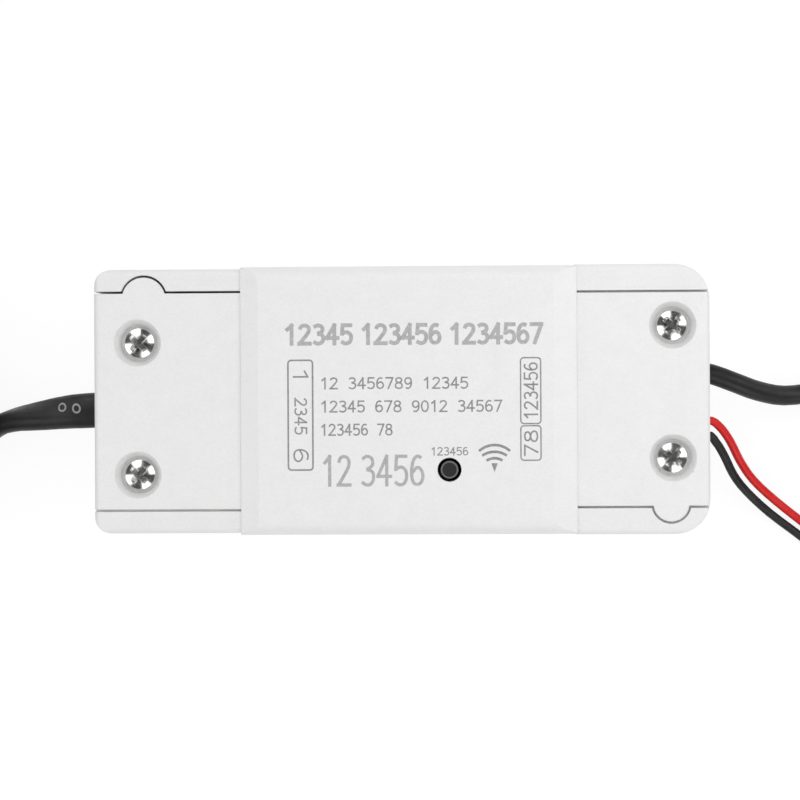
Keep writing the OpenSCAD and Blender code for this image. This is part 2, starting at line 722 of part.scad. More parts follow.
// boss for a cover screw, braced to the end wall
module boss(p, z0, z1) {
    translate([p.x, p.y, z0]) cylinder(d = boss_d, h = z1 - z0);
    translate([end_wall_t - root, p.y - brace_t / 2, z0])
        cube([p.x - end_wall_t + root, brace_t, z1 - z0]);
}

// holes in the bosses that the cover screws cut their threads in
module pilot_holes(screws) {
    for (p = screws) translate([p.x, p.y, split_h - pilot_l]) cylinder(d = pilot_d, h = pilot_l + past);
}

// rib that grips a lead just inside its hole
module grip_rib(y, lead_w, z0, z1) {
    w = lead_w + rib_more;
    translate([rib_in, y - w / 2, z0]) cube([rib_t, w, z1 - z0]);
}

module board_post(p) {
    translate([p.x, p.y, floor_t - root]) cylinder(d = post_d, h = post_h + root);
    translate([p.x, p.y, floor_t]) cylinder(d = peg_d, h = post_h + board_t + peg_head_t);
    translate([p.x, p.y, board_top]) cylinder(d = peg_head_d, h = peg_head_t);
}

// base wall behind the skirt, on both sides
module side_walls() {
    for (s = [0, 1]) mirror([0, s, 0])
        translate([cover_x0 - fit, wall_in, floor_t])
            cube([cover_x1 - cover_x0 + 2 * fit, inner_wall_t, wall_top - floor_t]);
}

module snap_places() {
    for (s = [0, 1]) for (x = [cover_mid - snap_out, cover_mid + snap_out])
        mirror([0, s, 0]) translate([x - snap_l / 2, 0, 0]) children();
}

module base_shell() {
    color("whitesmoke") difference() {
        union() {
            difference() {
                union() {
                    at_input() end_form(input_half, input_cover_l - fit, input_corner_r);
                    at_output() end_form(output_half, output_cover_l - fit, output_corner_r);
                    translate([cover_x0 - fit, 0, 0]) along_x(cover_x1 - cover_x0 + 2 * fit)
                        slab_outline(cover_half, 0, ledge_h, edge_r, 0);
                }
                at_input() end_room(input_open, input_cover_l, input_ear, input_ear_r);
                at_output() end_room(output_open, output_cover_l, output_ear, output_ear_r);
                translate([cover_x0 - fit, -wall_in, floor_t])
                    cube([cover_x1 - cover_x0 + 2 * fit, 2 * wall_in, body_h]);
            }
            side_walls();
            at_input() {
                for (p = input_screws) boss(p, floor_t - root, split_h);
                grip_rib(mains_y, mains_w, floor_t - root, split_h - mains_t / 2);
            }
            at_output() {
                for (p = output_screws) boss(p, floor_t - root, split_h);
                grip_rib(relay_lead_y, relay_lead_d, floor_t - root, split_h - relay_lead_d / 2);
            }
            for (p = pegs) board_post(p);
        }
        at_input() {
            input_lead_holes();
            pilot_holes(input_screws);
        }
        at_output() {
            output_lead_holes();
            pilot_holes(output_screws);
        }
        snap_places() translate([-snap_gap, wall_in - past, snap_z - snap_gap])
            cube([snap_l + 2 * snap_gap, inner_wall_t + past + fit, snap_h + 2 * snap_gap]);
    }
}

// outline of the centre cover from the side, with its laps over the end covers
module cover_side() {
    polygon([
        [cover_x0, ledge_h], [cover_x1, ledge_h], [cover_x1, lap_z], [cover_x1 + lap, lap_z],
        [cover_x1 + lap, lap_z + lap_t], [cover_x1 - output_slope_l, body_h],
        [cover_x0 + input_slope_l, body_h], [cover_x0 - lap, lap_z + lap_t], [cover_x0 - lap, lap_z],
        [cover_x0, lap_z]
    ]);
}

// outline of the room inside the centre cover, which is open at both ends
module cover_room_side() {
    low_z = end_h - top_t;
    high_z = body_h - top_t;
    polygon([
        [cover_x0 - past, 0], [cover_x1 + past, 0], [cover_x1 + past, low_z], [cover_x1, low_z],
        [cover_x1 - output_slope_l, high_z], [cover_x0 + input_slope_l, high_z], [cover_x0, low_z],
        [cover_x0 - past, low_z]
    ]);
}

module top_cover() {
    inner_r = max(cover_edge_r - skirt_t, root);
    collar_z = body_h - top_t - collar_h;
    color("white") difference() {
        union() {
            difference() {
                intersection() {
                    translate([cover_x0 - lap, 0, 0]) along_x(cover_x1 - cover_x0 + 2 * lap)
                        slab_outline(cover_half, ledge_h, body_h, 0, cover_edge_r);
                    along_y(cover_half) cover_side();
                }
                intersection() {
                    translate([cover_x0 - past, 0, 0]) along_x(cover_x1 - cover_x0 + 2 * past)
                        slab_outline(skirt_in, 0, body_h - top_t, 0, inner_r);
                    along_y(cover_half) cover_room_side();
                }
            }
            at_button(collar_z) cylinder(d = button_hole_d + 2 * collar_t, h = collar_h + top_t / 2);
            snap_places() along_x(snap_l) polygon([
                [skirt_in + root, snap_z], [skirt_in, snap_z],
                [skirt_in - snap_reach, snap_z + snap_h * snap_slope],
                [skirt_in - snap_reach, snap_z + snap_h], [skirt_in + root, snap_z + snap_h]
            ]);
        }
        at_button(collar_z - past) cylinder(d = button_hole_d, h = collar_h + top_t + 2 * past);
    }
}

// end cover with its plate, ear, end wall, screw tubes, tongue and grip rib
module end_cover(half, open, length, corner_r, screws, ear, ear_r, lead_y, lead_w, lead_t) {
    plate_half = open - seam;
    tongue_half = plate_half - tongue_in;
    recess_slope = (recess_d - recess_floor_d) / recess_depth;
    difference() {
        intersection() {
            end_form(half, length + tongue_l + past, corner_r);
            union() {
                translate([0, -plate_half, plate_z]) cube([length - fit, 2 * plate_half, plate_t]);
                translate([ear.x, ear.y, plate_z]) cylinder(r = ear_r, h = plate_t);
                translate([0, -plate_half, split_h]) cube([end_wall_t, 2 * plate_half, end_h - split_h]);
                for (p = screws) {
                    boss(p, split_h, plate_z + plate_t / 2);
                    translate([p.x, p.y, recess_z - cup_floor_t])
                        cylinder(d = cup_d, h = end_h - recess_z + cup_floor_t);
                }
                translate([length - fit - tongue_root, -tongue_half, tongue_top - tongue_t])
                    cube([tongue_root + tongue_l + fit, 2 * tongue_half, tongue_t]);
                grip_rib(lead_y, lead_w, split_h + lead_t / 2, plate_z + plate_t / 2);
            }
        }
        for (p = screws) translate([p.x, p.y, 0]) {
            translate([0, 0, recess_z])
                cylinder(d1 = recess_floor_d, d2 = recess_d + recess_slope * past, h = recess_depth + past);
            translate([0, 0, split_h - past]) cylinder(d = shank_hole_d, h = end_h);
        }
    }
}

module input_end_cover() {
    color("white") at_input() difference() {
        end_cover(input_half, input_open, input_cover_l, input_corner_r, input_screws, input_ear,
            input_ear_r, mains_y, mains_w, mains_t);
        input_lead_holes();
    }
}

module output_end_cover() {
    color("white") at_output() difference() {
        end_cover(output_half, output_open, output_cover_l, output_corner_r, output_screws, output_ear,
            output_ear_r, relay_lead_y, relay_lead_d, relay_lead_d);
        output_lead_holes();
    }
}

// cross recess whose four arms run down to a small floor
module cross_recess() {
    cross_slope = (cross_d - cross_floor_d) / cross_depth;
    cut_h = cross_depth + past;
    translate([0, 0, head_h - cross_depth]) rotate([0, 0, cross_turn]) intersection() {
        cylinder(d1 = cross_floor_d, d2 = cross_d + cross_slope * past, h = cut_h);
        for (a = [0, 90]) rotate([0, 0, a])
            translate([-cross_d, -cross_w / 2, 0]) cube([2 * cross_d, cross_w, cut_h]);
    }
}

// cover screw with a domed head and a cross recess
module cover_screw() {
    difference() {
        union() {
            rotate_extrude() intersection() {
                square([head_d / 2, head_h]);
                translate([0, head_h - head_dome_r]) circle(head_dome_r);
            }
            translate([0, 0, -shank_l]) cylinder(d = shank_d, h = shank_l + head_h / 2);
        }
        cross_recess();
    }
}

module cover_screws() {
    color("silver") {
        at_input() for (p = input_screws) translate([p.x, p.y, recess_z]) cover_screw();
        at_output() for (p = output_screws) translate([p.x, p.y, recess_z]) cover_screw();
    }
}

// something on the axis of the pairing button
module at_button(z) {
    p = spot(button_at);
    translate([p.x, p.y, z]) children();
}

// pairing button: the long plunger of the switch, seen through the cover
module pairing_button() {
    bevel_z = button_top - button_bevel_h;
    color("black") {
        at_button(flange_z) cylinder(d = flange_d, h = flange_t);
        at_button(flange_z) cylinder(d = button_d, h = bevel_z - flange_z);
        at_button(bevel_z)
            cylinder(d1 = button_d, d2 = button_d - 2 * button_bevel_w, h = button_bevel_h);
    }
}

module switch_body() {
    color("dimgray") at_button(board_top) difference() {
        translate([-switch_w / 2, -switch_w / 2, 0]) cube([switch_w, switch_w, switch_h]);
        translate([0, 0, switch_floor_t]) cylinder(d = switch_well_d, h = switch_h);
    }
}

module switch_plate() {
    plate_w = switch_w - switch_plate_in;
    color("silver") at_button(switch_top) difference() {
        translate([-plate_w / 2, -plate_w / 2, 0]) cube([plate_w, plate_w, switch_plate_t]);
        translate([0, 0, -past]) cylinder(d = button_hole_d, h = switch_plate_t + 2 * past);
    }
}

module switch_legs() {
    side = (switch_w + switch_leg.y) / 2;
    color("silver") at_button(board_top) for (sx = [-1, 1]) for (sy = [-1, 1])
        translate([sx * side - switch_leg.y / 2, (sy * switch_leg_pitch - switch_leg.x) / 2, 0])
            cube([switch_leg.y, switch_leg.x, switch_leg.z]);
}

module circuit_board() {
    color("seagreen") translate([board_x0, -board_half, board_z]) difference() {
        cube([board_x1 - board_x0, board_w, board_t]);
        for (p = pegs) translate([p.x - board_x0, p.y + board_half, -past])
            cylinder(d = peg_d + 2 * peg_gap, h = board_t + 2 * past);
    }
}

// flat outline with rounded corners, centred
module rounded_rect(w, d, r) {
    square([w - 2 * r, d], center = true);
    square([w, d - 2 * r], center = true);
    for (sx = [-1, 1]) for (sy = [-1, 1]) translate([sx * (w / 2 - r), sy * (d / 2 - r)]) circle(r);
}

// something that stands on the board
module on_board(p) {
    at = spot(p);
    translate([at.x, at.y, board_top]) scale([squeeze, squeeze, 1]) children();
}

module relay() {
    color("royalblue") on_board(relay_at)
        linear_extrude(relay_h) rounded_rect(relay_size.x, relay_size.y, relay_corner_r);
}

module transformer_foot() {
    color("black") on_board(transformer_at)
        translate([-foot_size.x / 2, -foot_size.y / 2, 0]) cube(foot_size);
}

module transformer_core() {
    window_w = (core_size.x - 2 * core_leg - core_mid) / 2;
    window_h = core_size.z - 2 * core_leg;
    color("dimgray") on_board(transformer_at) translate([0, 0, foot_size.z]) difference() {
        translate([-core_size.x / 2, -core_size.y / 2, 0]) cube(core_size);
        for (s = [0, 1]) mirror([s, 0, 0])
            translate([core_mid / 2, -core_size.y, core_leg]) cube([window_w, 2 * core_size.y, window_h]);
    }
}

module transformer_winding() {
    window_w = (core_size.x - 2 * core_leg - core_mid) / 2;
    w = core_mid + 2 * (window_w - fit);
    d = core_size.y + 2 * winding_t;
    h = core_size.z - 2 * core_leg - 2 * fit;
    color("gold") on_board(transformer_at) translate([0, 0, foot_size.z + core_leg + fit]) difference() {
        linear_extrude(h) rounded_rect(w, d, winding_r);
        translate([-core_mid / 2 - fit, -core_size.y / 2 - fit, -past])
            cube([core_mid + 2 * fit, core_size.y + 2 * fit, h + 2 * past]);
    }
}

// round capacitor with a crimped groove near its foot
module can(d, h) {
    groove_z = 1.8;
    groove_r = 0.5;
    groove_out = 0.2;
    rotate_extrude() difference() {
        square([d / 2, h]);
        translate([d / 2 + groove_out, groove_z]) circle(groove_r);
    }
}

module input_capacitor() {
    color("#202838") on_board(input_can_at) can(input_can_d, input_can_h);
}

module output_capacitor() {
    color("#202838") on_board(output_can_at) can(output_can_d, output_can_h);
}

// disc on two wire legs
module varistor() {
    leg_h = 2;
    leg_y = 2.5;
    mid_z = leg_h + varistor_d / 2;
    color("steelblue") on_board(varistor_at) {
        translate([-varistor_t / 2, 0, mid_z]) rotate([0, 90, 0]) cylinder(d = varistor_d, h = varistor_t);
        for (s = [-1, 1]) translate([0, s * leg_y, 0]) cylinder(d = leg_d, h = mid_z);
    }
}

// lying body with fat ends, on two bent wire legs
module fuse_resistor() {
    cap_l = 1.6;
    thinner = 0.5;
    rise = 0.3;
    reach = 1.4;
    lift = fuse_d / 2 + rise;
    color("olivedrab") on_board(fuse_at) {
        translate([0, -fuse_l / 2, lift]) rotate([-90, 0, 0]) {
            cylinder(d = fuse_d - thinner, h = fuse_l);
            cylinder(d = fuse_d, h = cap_l);
            translate([0, 0, fuse_l - cap_l]) cylinder(d = fuse_d, h = cap_l);
            translate([0, 0, -reach]) cylinder(d = leg_d, h = fuse_l + 2 * reach);
        }
        for (s = [-1, 1]) translate([0, s * (fuse_l / 2 + reach), 0])
            cylinder(d = leg_d, h = lift + leg_d / 2);
    }
}

// flat package on four feet
module bridge_rectifier() {
    foot_h = 0.8;
    foot_w = 1;
    foot_x = bridge_size.x / 2 + foot_w / 4;
    color("#181818") on_board(bridge_at) {
        translate([-bridge_size.x / 2, -bridge_size.y / 2, foot_h / 2])
            cube([bridge_size.x, bridge_size.y, bridge_size.z - foot_h / 2]);
        for (sx = [-1, 1]) for (sy = [-1, 1])
            translate([sx * foot_x - foot_w / 2, sy * bridge_size.y / 4 - foot_w / 2, 0])
                cube([foot_w, foot_w, foot_h]);
    }
}

// drum with two flanges
module filter_inductor() {
    flange = 1.2;
    waist = 1;
    color("#403020") on_board(inductor_at) {
        cylinder(d = inductor_d, h = flange);
        cylinder(d = inductor_d - waist, h = inductor_h);
        translate([0, 0, inductor_h - flange]) cylinder(d = inductor_d, h = flange);
    }
}

module radio_board() {
    color("darkgreen") on_board(radio_at)
        translate([-radio_size.x / 2, -radio_size.y / 2, 0]) cube(radio_size);
}

module radio_shield() {
    edge = 0.6;
    corner_r = 0.6;
    color("silver") on_board(radio_at)
        translate([-radio_size.x / 2 + edge + shield_size.x / 2, 0, radio_size.z])
            linear_extrude(shield_size.z) rounded_rect(shield_size.x, shield_size.y, corner_r);
}

// folded track that works as the aerial
module radio_antenna() {
    track_w = 0.5;
    track_t = 0.1;
    folds = 4;
    fold_w = radio_size.y / 6;
    fold_l = 3.4;
    edge = 0.6;
    start = radio_size.x / 2 - fold_l - edge;
    color("gold") on_board(radio_at)
        translate([start, -folds * fold_w / 2, radio_size.z]) linear_extrude(track_t) {
            for (i = [0 : folds]) translate([0, i * fold_w]) square([fold_l, track_w]);
            for (i = [0 : folds - 1]) translate([i % 2 == 0 ? fold_l - track_w : 0, i * fold_w])
                square([track_w, fold_w + track_w]);
        }
}

module status_light() {
    color("aliceblue") on_board(led_at)
        translate([-led_size.x / 2, -led_size.y / 2, 0]) cube(led_size);
}

// two-way terminal block; its wire face is at x = 0 and it reaches along +x
module terminal_block() {
    well_z = board_top + terminal_h - terminal_well_l;
    difference() {
        translate([0, -terminal_pitch, board_top]) cube([terminal_l, 2 * terminal_pitch, terminal_h]);
        for (s = [-1, 1]) translate([0, s * terminal_pitch / 2, 0]) {
            translate([-past, 0, split_h]) rotate([0, 90, 0])
                cylinder(d = terminal_hole_d, h = terminal_hole_l + past);
            translate([terminal_l / 2, 0, well_z])
                cylinder(d = terminal_screw_d + 2 * terminal_gap, h = terminal_well_l + past);
        }
    }
}

module terminal_screw_pair() {
    well_z = board_top + terminal_h - terminal_well_l;
    h = terminal_well_l - terminal_screw_sink;
    for (s = [-1, 1]) translate([terminal_l / 2, s * terminal_pitch / 2, well_z]) difference() {
        cylinder(d = terminal_screw_d, h = h);
        translate([-terminal_screw_d, -terminal_slot_w / 2, h - terminal_slot_depth])
            cube([2 * terminal_screw_d, terminal_slot_w, terminal_slot_depth + past]);
    }
}

module at_input_terminal() {
    translate([input_terminal_x, mains_y, 0]) children();
}

module at_output_terminal(y) {
    translate([output_terminal_x, y, 0]) mirror([1, 0, 0]) children();
}

module input_terminal() {
    color("green") at_input_terminal() terminal_block();
}

module output_terminal() {
    color("green") at_output_terminal(output_terminal_y) terminal_block();
}

module sensor_terminal() {
    color("green") at_output_terminal(sensor_terminal_y) terminal_block();
}

module terminal_screws() {
    color("silver") {
        at_input_terminal() terminal_screw_pair();
        at_output_terminal(output_terminal_y) terminal_screw_pair();
        at_output_terminal(sensor_terminal_y) terminal_screw_pair();
    }
}

// insulated core from the end of a lead's jacket into a terminal
module core_wire(from, to, into, d) {
    along = [sign(into - from.x), 0, 0];
    tube([[from.x, from.y, split_h], [to.x, to.y, split_h], [into, to.y, split_h]], d, d, 8, along, along);
}

module mains_cores() {
    jacket_end = mains_route[0].x;
    color("saddlebrown") for (s = [-1, 1])
        core_wire([jacket_end, mains_y + s * (mains_w - mains_t) / 2],
            [input_terminal_x - core_run, mains_y + s * terminal_pitch / 2],
            input_terminal_x + terminal_hole_l, mains_core_d);
}

module relay_lead_cores() {
    jacket_end = relay_lead_route[0].x;
    color("black") for (s = [-1, 1])
        core_wire([jacket_end, relay_lead_y + s * relay_lead_d / 4],
            [output_terminal_x + core_run, output_terminal_y + s * terminal_pitch / 2],
            output_terminal_x - terminal_hole_l, relay_core_d);
}

module mains_lead() {
    color("#202020") tube(concat(mains_route, [concat(coil_start(mains_coil, mains_w), [90])]),
        mains_w, mains_t, 12, [-1, 0, 0], coil_dir(mains_coil, 0));
}

module mains_lead_coil() {
    color("#202020") wound_tube(mains_coil, mains_t, mains_w, mains_w);
}

module mains_lead_tail() {
    into_plug = [cos(plug_turn), sin(plug_turn), 0];
    color("#202020") tube(concat([concat(coil_end(mains_coil, mains_w), [90])], mains_tail_route),
        mains_w, mains_t, 12, coil_dir(mains_coil, mains_coil[3]), into_plug);
}

module mains_tie() {
    color("#303030") coil_tie(mains_coil, mains_t, mains_w, mains_coil[7], mains_tie_turn);
}

// the lead comes into the plug at x = 0
module at_plug() {
    translate(plug_at) rotate([0, 0, plug_turn]) children();
}

// outline of the plug's body, which widens from its neck
module plug_outline(neck, full) {
    x0 = plug_relief_l;
    x1 = plug_relief_l + plug_shoulder;
    x2 = plug_relief_l + plug_body_l;
    polygon([
        [x0, -neck / 2], [x1, -full / 2], [x2, -full / 2], [x2, full / 2], [x1, full / 2], [x0, neck / 2]
    ]);
}

// moulded two-pin plug with a ribbed sleeve
module mains_plug() {
    grooves = 4;
    color("#202020") at_plug() {
        difference() {
            rotate([0, 90, 0]) cylinder(d1 = plug_relief_d, d2 = plug_sleeve_d, h = plug_relief_l + root);
            for (i = [1 : grooves]) translate([i * plug_groove_step - plug_groove_w / 2, 0, 0])
                rotate([0, 90, 0]) difference() {
                    cylinder(d = 2 * plug_sleeve_d, h = plug_groove_w);
                    translate([0, 0, -past]) cylinder(d = plug_groove_d, h = plug_groove_w + 2 * past);
                }
        }
        intersection() {
            translate([0, 0, -plug_h / 2]) linear_extrude(plug_h) plug_outline(plug_neck_w, plug_w);
            along_y(plug_w) plug_outline(plug_neck_h, plug_h);
            along_x(plug_relief_l + plug_body_l) rounded_rect(plug_w, plug_h, plug_edge_r);
        }
    }
}

module plug_blades() {
    color("gold") at_plug() for (s = [-1, 1])
        translate([plug_relief_l + plug_body_l, (s * blade_pitch - blade_size.y) / 2, -blade_size.z / 2])
            cube(blade_size);
}

module relay_lead() {
    color("#202020") tube(concat(relay_lead_route, [coil_start(relay_coil, relay_lead_d)]),
        relay_lead_d, relay_lead_d, 8, [1, 0, 0], coil_dir(relay_coil, 0));
}

module relay_lead_coil() {
    color("#202020") wound_tube(relay_coil, relay_lead_d, relay_lead_d, relay_lead_d);
}

module relay_lead_tie() {
    color("#303030") coil_tie(relay_coil, relay_lead_d, relay_lead_d, relay_coil[7], relay_tie_turn);
}

// one of the two stripped ends of the relay lead
module relay_lead_end(s, way, d, first_dir, last_dir) {
    from = coil_end(relay_coil, relay_lead_d);
    tube([for (p = way) from + [s * p.x, p.y, p.z]], d, d, 8, first_dir, last_dir);
}

// direction of a stripped tip
function tip_dir(s) =
    let (way = tip_way[1] - tip_way[0])
    unit([s * way.x, way.y, way.z]);

module relay_lead_ends() {
    out = coil_dir(relay_coil, relay_coil[3]);
    color("#202020") for (s = [-1, 1]) relay_lead_end(s, end_way, relay_core_d, out, tip_dir(s));
}

module relay_lead_tips() {
    color("silver") for (s = [-1, 1]) relay_lead_end(s, tip_way, tip_d, tip_dir(s), tip_dir(s));
}

// part of a sensor wire that enters its terminal
function terminal_run(s) =
    let (y = sensor_terminal_y + s * terminal_pitch / 2)
    [[output_terminal_x - terminal_hole_l, y, split_h], [output_terminal_x + core_run, y, split_h]];

module sensor_wire(s, route, c) {
    tube(concat(terminal_run(s), route, [coil_start(c, sensor_d)]), sensor_d, sensor_d, 8,
        [1, 0, 0], coil_dir(c, 0));
}

module sensor_tail(c, route) {
    tube(concat([coil_end(c, sensor_d)], route), sensor_d, sensor_d, 8, coil_dir(c, c[3]), [1, 0, 0]);
}

module sensor_wire_red() {
    color("red") sensor_wire(1, red_route, red_coil);
}

module sensor_wire_black() {
    color("#202020") sensor_wire(-1, black_route, black_coil);
}

module sensor_coil_red() {
    color("red") wound_tube(red_coil, sensor_d, sensor_d, sensor_d);
}

module sensor_coil_black() {
    color("#202020") wound_tube(black_coil, sensor_d, sensor_d, sensor_d);
}

module sensor_tie() {
    color("#303030") coil_tie(red_coil, sensor_d, sensor_d, 3 * wire_pitch, sensor_tie_turn);
}

module sensor_tail_red() {
    color("red") sensor_tail(red_coil, red_tail_route);
}

module sensor_tail_black() {
    color("#202020") sensor_tail(black_coil, black_tail_route);
}

// magnet contact that the sensor wires end in
module sensor_body() {
    color("white") translate(sensor_at) difference() {
        intersection() {
            translate([sensor_size.x / 2, 0, 0]) linear_extrude(sensor_size.z)
                rounded_rect(sensor_size.x, sensor_size.y, sensor_corner_r);
            along_x(sensor_size.x) slab_outline(sensor_size.y / 2, 0, sensor_size.z, 0, sensor_edge_r);
        }
        for (x = [sensor_hole_in, sensor_size.x - sensor_hole_in]) translate([x, 0, -past])
            cylinder(d = sensor_hole_d, h = sensor_size.z + 2 * past);
    }
}

base_shell();
top_cover();
input_end_cover();
output_end_cover();
cover_screws();
pairing_button();
switch_body();
switch_plate();
switch_legs();
circuit_board();
relay();
transformer_foot();
transformer_core();
transformer_winding();
input_capacitor();
output_capacitor();
varistor();
fuse_resistor();
bridge_rectifier();
filter_inductor();
radio_board();
radio_shield();
radio_antenna();
status_light();
input_terminal();
output_terminal();
sensor_terminal();
terminal_screws();
mains_cores();
relay_lead_cores();
mains_lead();
mains_lead_coil();
mains_lead_tail();
mains_tie();
mains_plug();
plug_blades();
relay_lead();
relay_lead_coil();
relay_lead_tie();
relay_lead_ends();
relay_lead_tips();
sensor_wire_red();
sensor_wire_black();
sensor_coil_red();
sensor_coil_black();
sensor_tie();
sensor_tail_red();
sensor_tail_black();
sensor_body();
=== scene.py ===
# %% [markdown]
# # A relay box for a garage door, dressed in Blender
# The solids of the box come ready from a CAD model. This lesson gives them their finishes, draws
# the print on the cover, and remakes the leads, which are soft and need smoother forms than a CAD
# model has. Every length is in metres, because that is Blender's own unit.

# %% Load the solids
import math
from functools import partial

import bpy
from mathutils import Matrix, Vector, geometry


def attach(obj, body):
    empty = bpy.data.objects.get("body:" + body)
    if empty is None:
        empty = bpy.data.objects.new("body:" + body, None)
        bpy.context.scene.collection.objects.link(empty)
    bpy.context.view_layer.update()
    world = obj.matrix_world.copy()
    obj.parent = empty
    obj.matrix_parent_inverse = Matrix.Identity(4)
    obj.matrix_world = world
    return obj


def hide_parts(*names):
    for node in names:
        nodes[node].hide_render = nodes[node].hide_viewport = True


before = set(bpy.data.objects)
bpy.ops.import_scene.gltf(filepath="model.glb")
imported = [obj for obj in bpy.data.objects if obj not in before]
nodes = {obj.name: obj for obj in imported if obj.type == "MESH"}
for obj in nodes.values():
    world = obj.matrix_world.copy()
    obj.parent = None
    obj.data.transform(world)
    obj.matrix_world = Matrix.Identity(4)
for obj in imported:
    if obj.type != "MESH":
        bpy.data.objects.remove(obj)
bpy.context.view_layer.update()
scene = bpy.context.scene
MM = 0.001

# %% [markdown]
# ## The camera
# The box lies flat and is seen from almost straight above, so its top fills the picture and its
# walls hardly show. A camera can be turned towards a target with a track constraint, but from above
# the picture's upright is then left to chance. Here the three axes of the camera are worked out: one
# points back from the target to the lens, one lies across the picture and one runs up it.

# %% Camera above the box
VIEW_DISTANCE = 430 * MM
VIEW_WIDTH = 114.1 * MM
LEAN_RIGHT = math.radians(2.0)
ROLL = math.radians(0.3)
SENSOR_WIDTH = 36
target = Vector((-0.14, 0.04, 21.2)) * MM

back = Vector((math.sin(LEAN_RIGHT), 0, math.cos(LEAN_RIGHT)))
across = Vector((0, 1, 0)).cross(back).normalized()
axes = Matrix((across, back.cross(across), back)).transposed() @ Matrix.Rotation(-ROLL, 3, "Z")

camera = bpy.data.objects.new("camera_above", bpy.data.cameras.new("camera_above"))
scene.collection.objects.link(camera)
camera.matrix_world = Matrix.Translation(target + back * VIEW_DISTANCE) @ axes.to_4x4()
camera.data.sensor_width = SENSOR_WIDTH
camera.data.lens = SENSOR_WIDTH * VIEW_DISTANCE / VIEW_WIDTH
scene.camera = camera
print("lens in mm:", round(camera.data.lens, 1))

# %% [markdown]
# ## Helpers for meshes and nodes
# A mesh takes five lines to make, and a shader node three or four. Both come back all through the
# lesson, so short functions make them. A value for a node may be the output of another node, which
# is then linked, or a plain number, which is written into the socket.

# %% A mesh from points and faces
def add_mesh(name, points, faces, material):
    """A new object in one material."""
    mesh = bpy.data.meshes.new(name)
    mesh.from_pydata(points, [], faces)
    mesh.materials.append(material)
    made = bpy.data.objects.new(name, mesh)
    scene.collection.objects.link(made)
    return made


# %% The commonest shader nodes
def link_or_set(tree, value, socket):
    """Joins the output of another node to a socket, or writes a plain value into it."""
    if isinstance(value, bpy.types.NodeSocket):
        tree.links.new(value, socket)
    else:
        socket.default_value = value


def calc(tree, operation, first, second=0.0):
    """One math node."""
    node = tree.nodes.new("ShaderNodeMath")
    node.operation = operation
    link_or_set(tree, first, node.inputs[0])
    link_or_set(tree, second, node.inputs[1])
    return node.outputs[0]


def remap(tree, value, from_low, from_high, to_low=0.0, to_high=1.0):
    """Moves a range of values to another range, and stops at its ends."""
    node = tree.nodes.new("ShaderNodeMapRange")
    for socket, number in zip(node.inputs, (value, from_low, from_high, to_low, to_high)):
        link_or_set(tree, number, socket)
    return node.outputs["Result"]


def parts(tree, vector):
    """The X, Y and Z of a vector."""
    node = tree.nodes.new("ShaderNodeSeparateXYZ")
    tree.links.new(vector, node.inputs[0])
    return node.outputs


# %% [markdown]
# ## Floor and light
# White goods are hard to light: with too much light they clip, and with too little they turn grey.
# Most of the light comes from the world. One weak lamp hangs over the upper right end, close to the
# box, and makes that end a little lighter. It is hidden from the camera and from mirrors, because its
# own picture would lie on the cover as a spot. The floor answers the camera with plain white, but
# only by a share, so the box keeps its shadow.

# %% Floor
HALF_FLOOR = 3.0
FLOOR_LEVEL = -0.02 * MM
PAPER_GREY, PAPER_GLOW, WHITE_SHARE = 0.86, 1.08, 0.82
paper = bpy.data.materials.new("white_paper")
paper.use_nodes = True
tree = paper.node_tree
tree.nodes.clear()
diffuse = tree.nodes.new("ShaderNodeBsdfDiffuse")
diffuse.inputs["Color"].default_value = (PAPER_GREY, PAPER_GREY, PAPER_GREY, 1)
glow = tree.nodes.new("ShaderNodeEmission")
glow.inputs["Strength"].default_value = PAPER_GLOW
ray = tree.nodes.new("ShaderNodeLightPath").outputs
mirrored = calc(tree, "MAXIMUM", ray["Is Glossy Ray"], ray["Is Transmission Ray"])
seen = calc(tree, "MAXIMUM", ray["Is Camera Ray"], mirrored)
blend = tree.nodes.new("ShaderNodeMixShader")
tree.links.new(calc(tree, "MULTIPLY", seen, WHITE_SHARE), blend.inputs["Fac"])
tree.links.new(diffuse.outputs["BSDF"], blend.inputs[1])
tree.links.new(glow.outputs["Emission"], blend.inputs[2])
output = tree.nodes.new("ShaderNodeOutputMaterial")
tree.links.new(blend.outputs["Shader"], output.inputs["Surface"])

corners = [(x * HALF_FLOOR, y * HALF_FLOOR, FLOOR_LEVEL) for x, y in ((-1, -1), (1, -1), (1, 1), (-1, 1))]
floor = add_mesh("paper_floor", corners, [(0, 1, 2, 3)], paper)
print("floor:", floor.name)

# %% Lamp
LAMP_SIZE, LAMP_POWER = 0.08, 0.02
lamp_place, lamp_aim = Vector((0.08, 0.05, 0.12)), Vector((0.02, 0.01, 0.02))
near_lamp = bpy.data.objects.new("near_lamp", bpy.data.lights.new("near_lamp", "AREA"))
near_lamp.data.shape = "SQUARE"
near_lamp.data.size = LAMP_SIZE
near_lamp.data.energy = LAMP_POWER
near_lamp.location = lamp_place
near_lamp.rotation_mode = "QUATERNION"
near_lamp.rotation_quaternion = (lamp_aim - lamp_place).to_track_quat("-Z", "Y")
near_lamp.visible_camera = False
near_lamp.visible_glossy = False
scene.collection.objects.link(near_lamp)
print("lamp:", near_lamp.name)

# %% [markdown]
# ### A world with two faces
# Matt plastic only sees how much light there is, but polished metal shows what the studio looks like:
# the dark camera straight above, a ring of bright sheets round it and a dark room below them. So the
# world answers matt surfaces with an almost even white, and mirrors with that ring. The height of a
# direction picks the brightness from a colour ramp, and its angle round the ring tells a sheet from
# the dark gap beside it. Without the gaps a screw looks like brushed steel, not like bright plating.

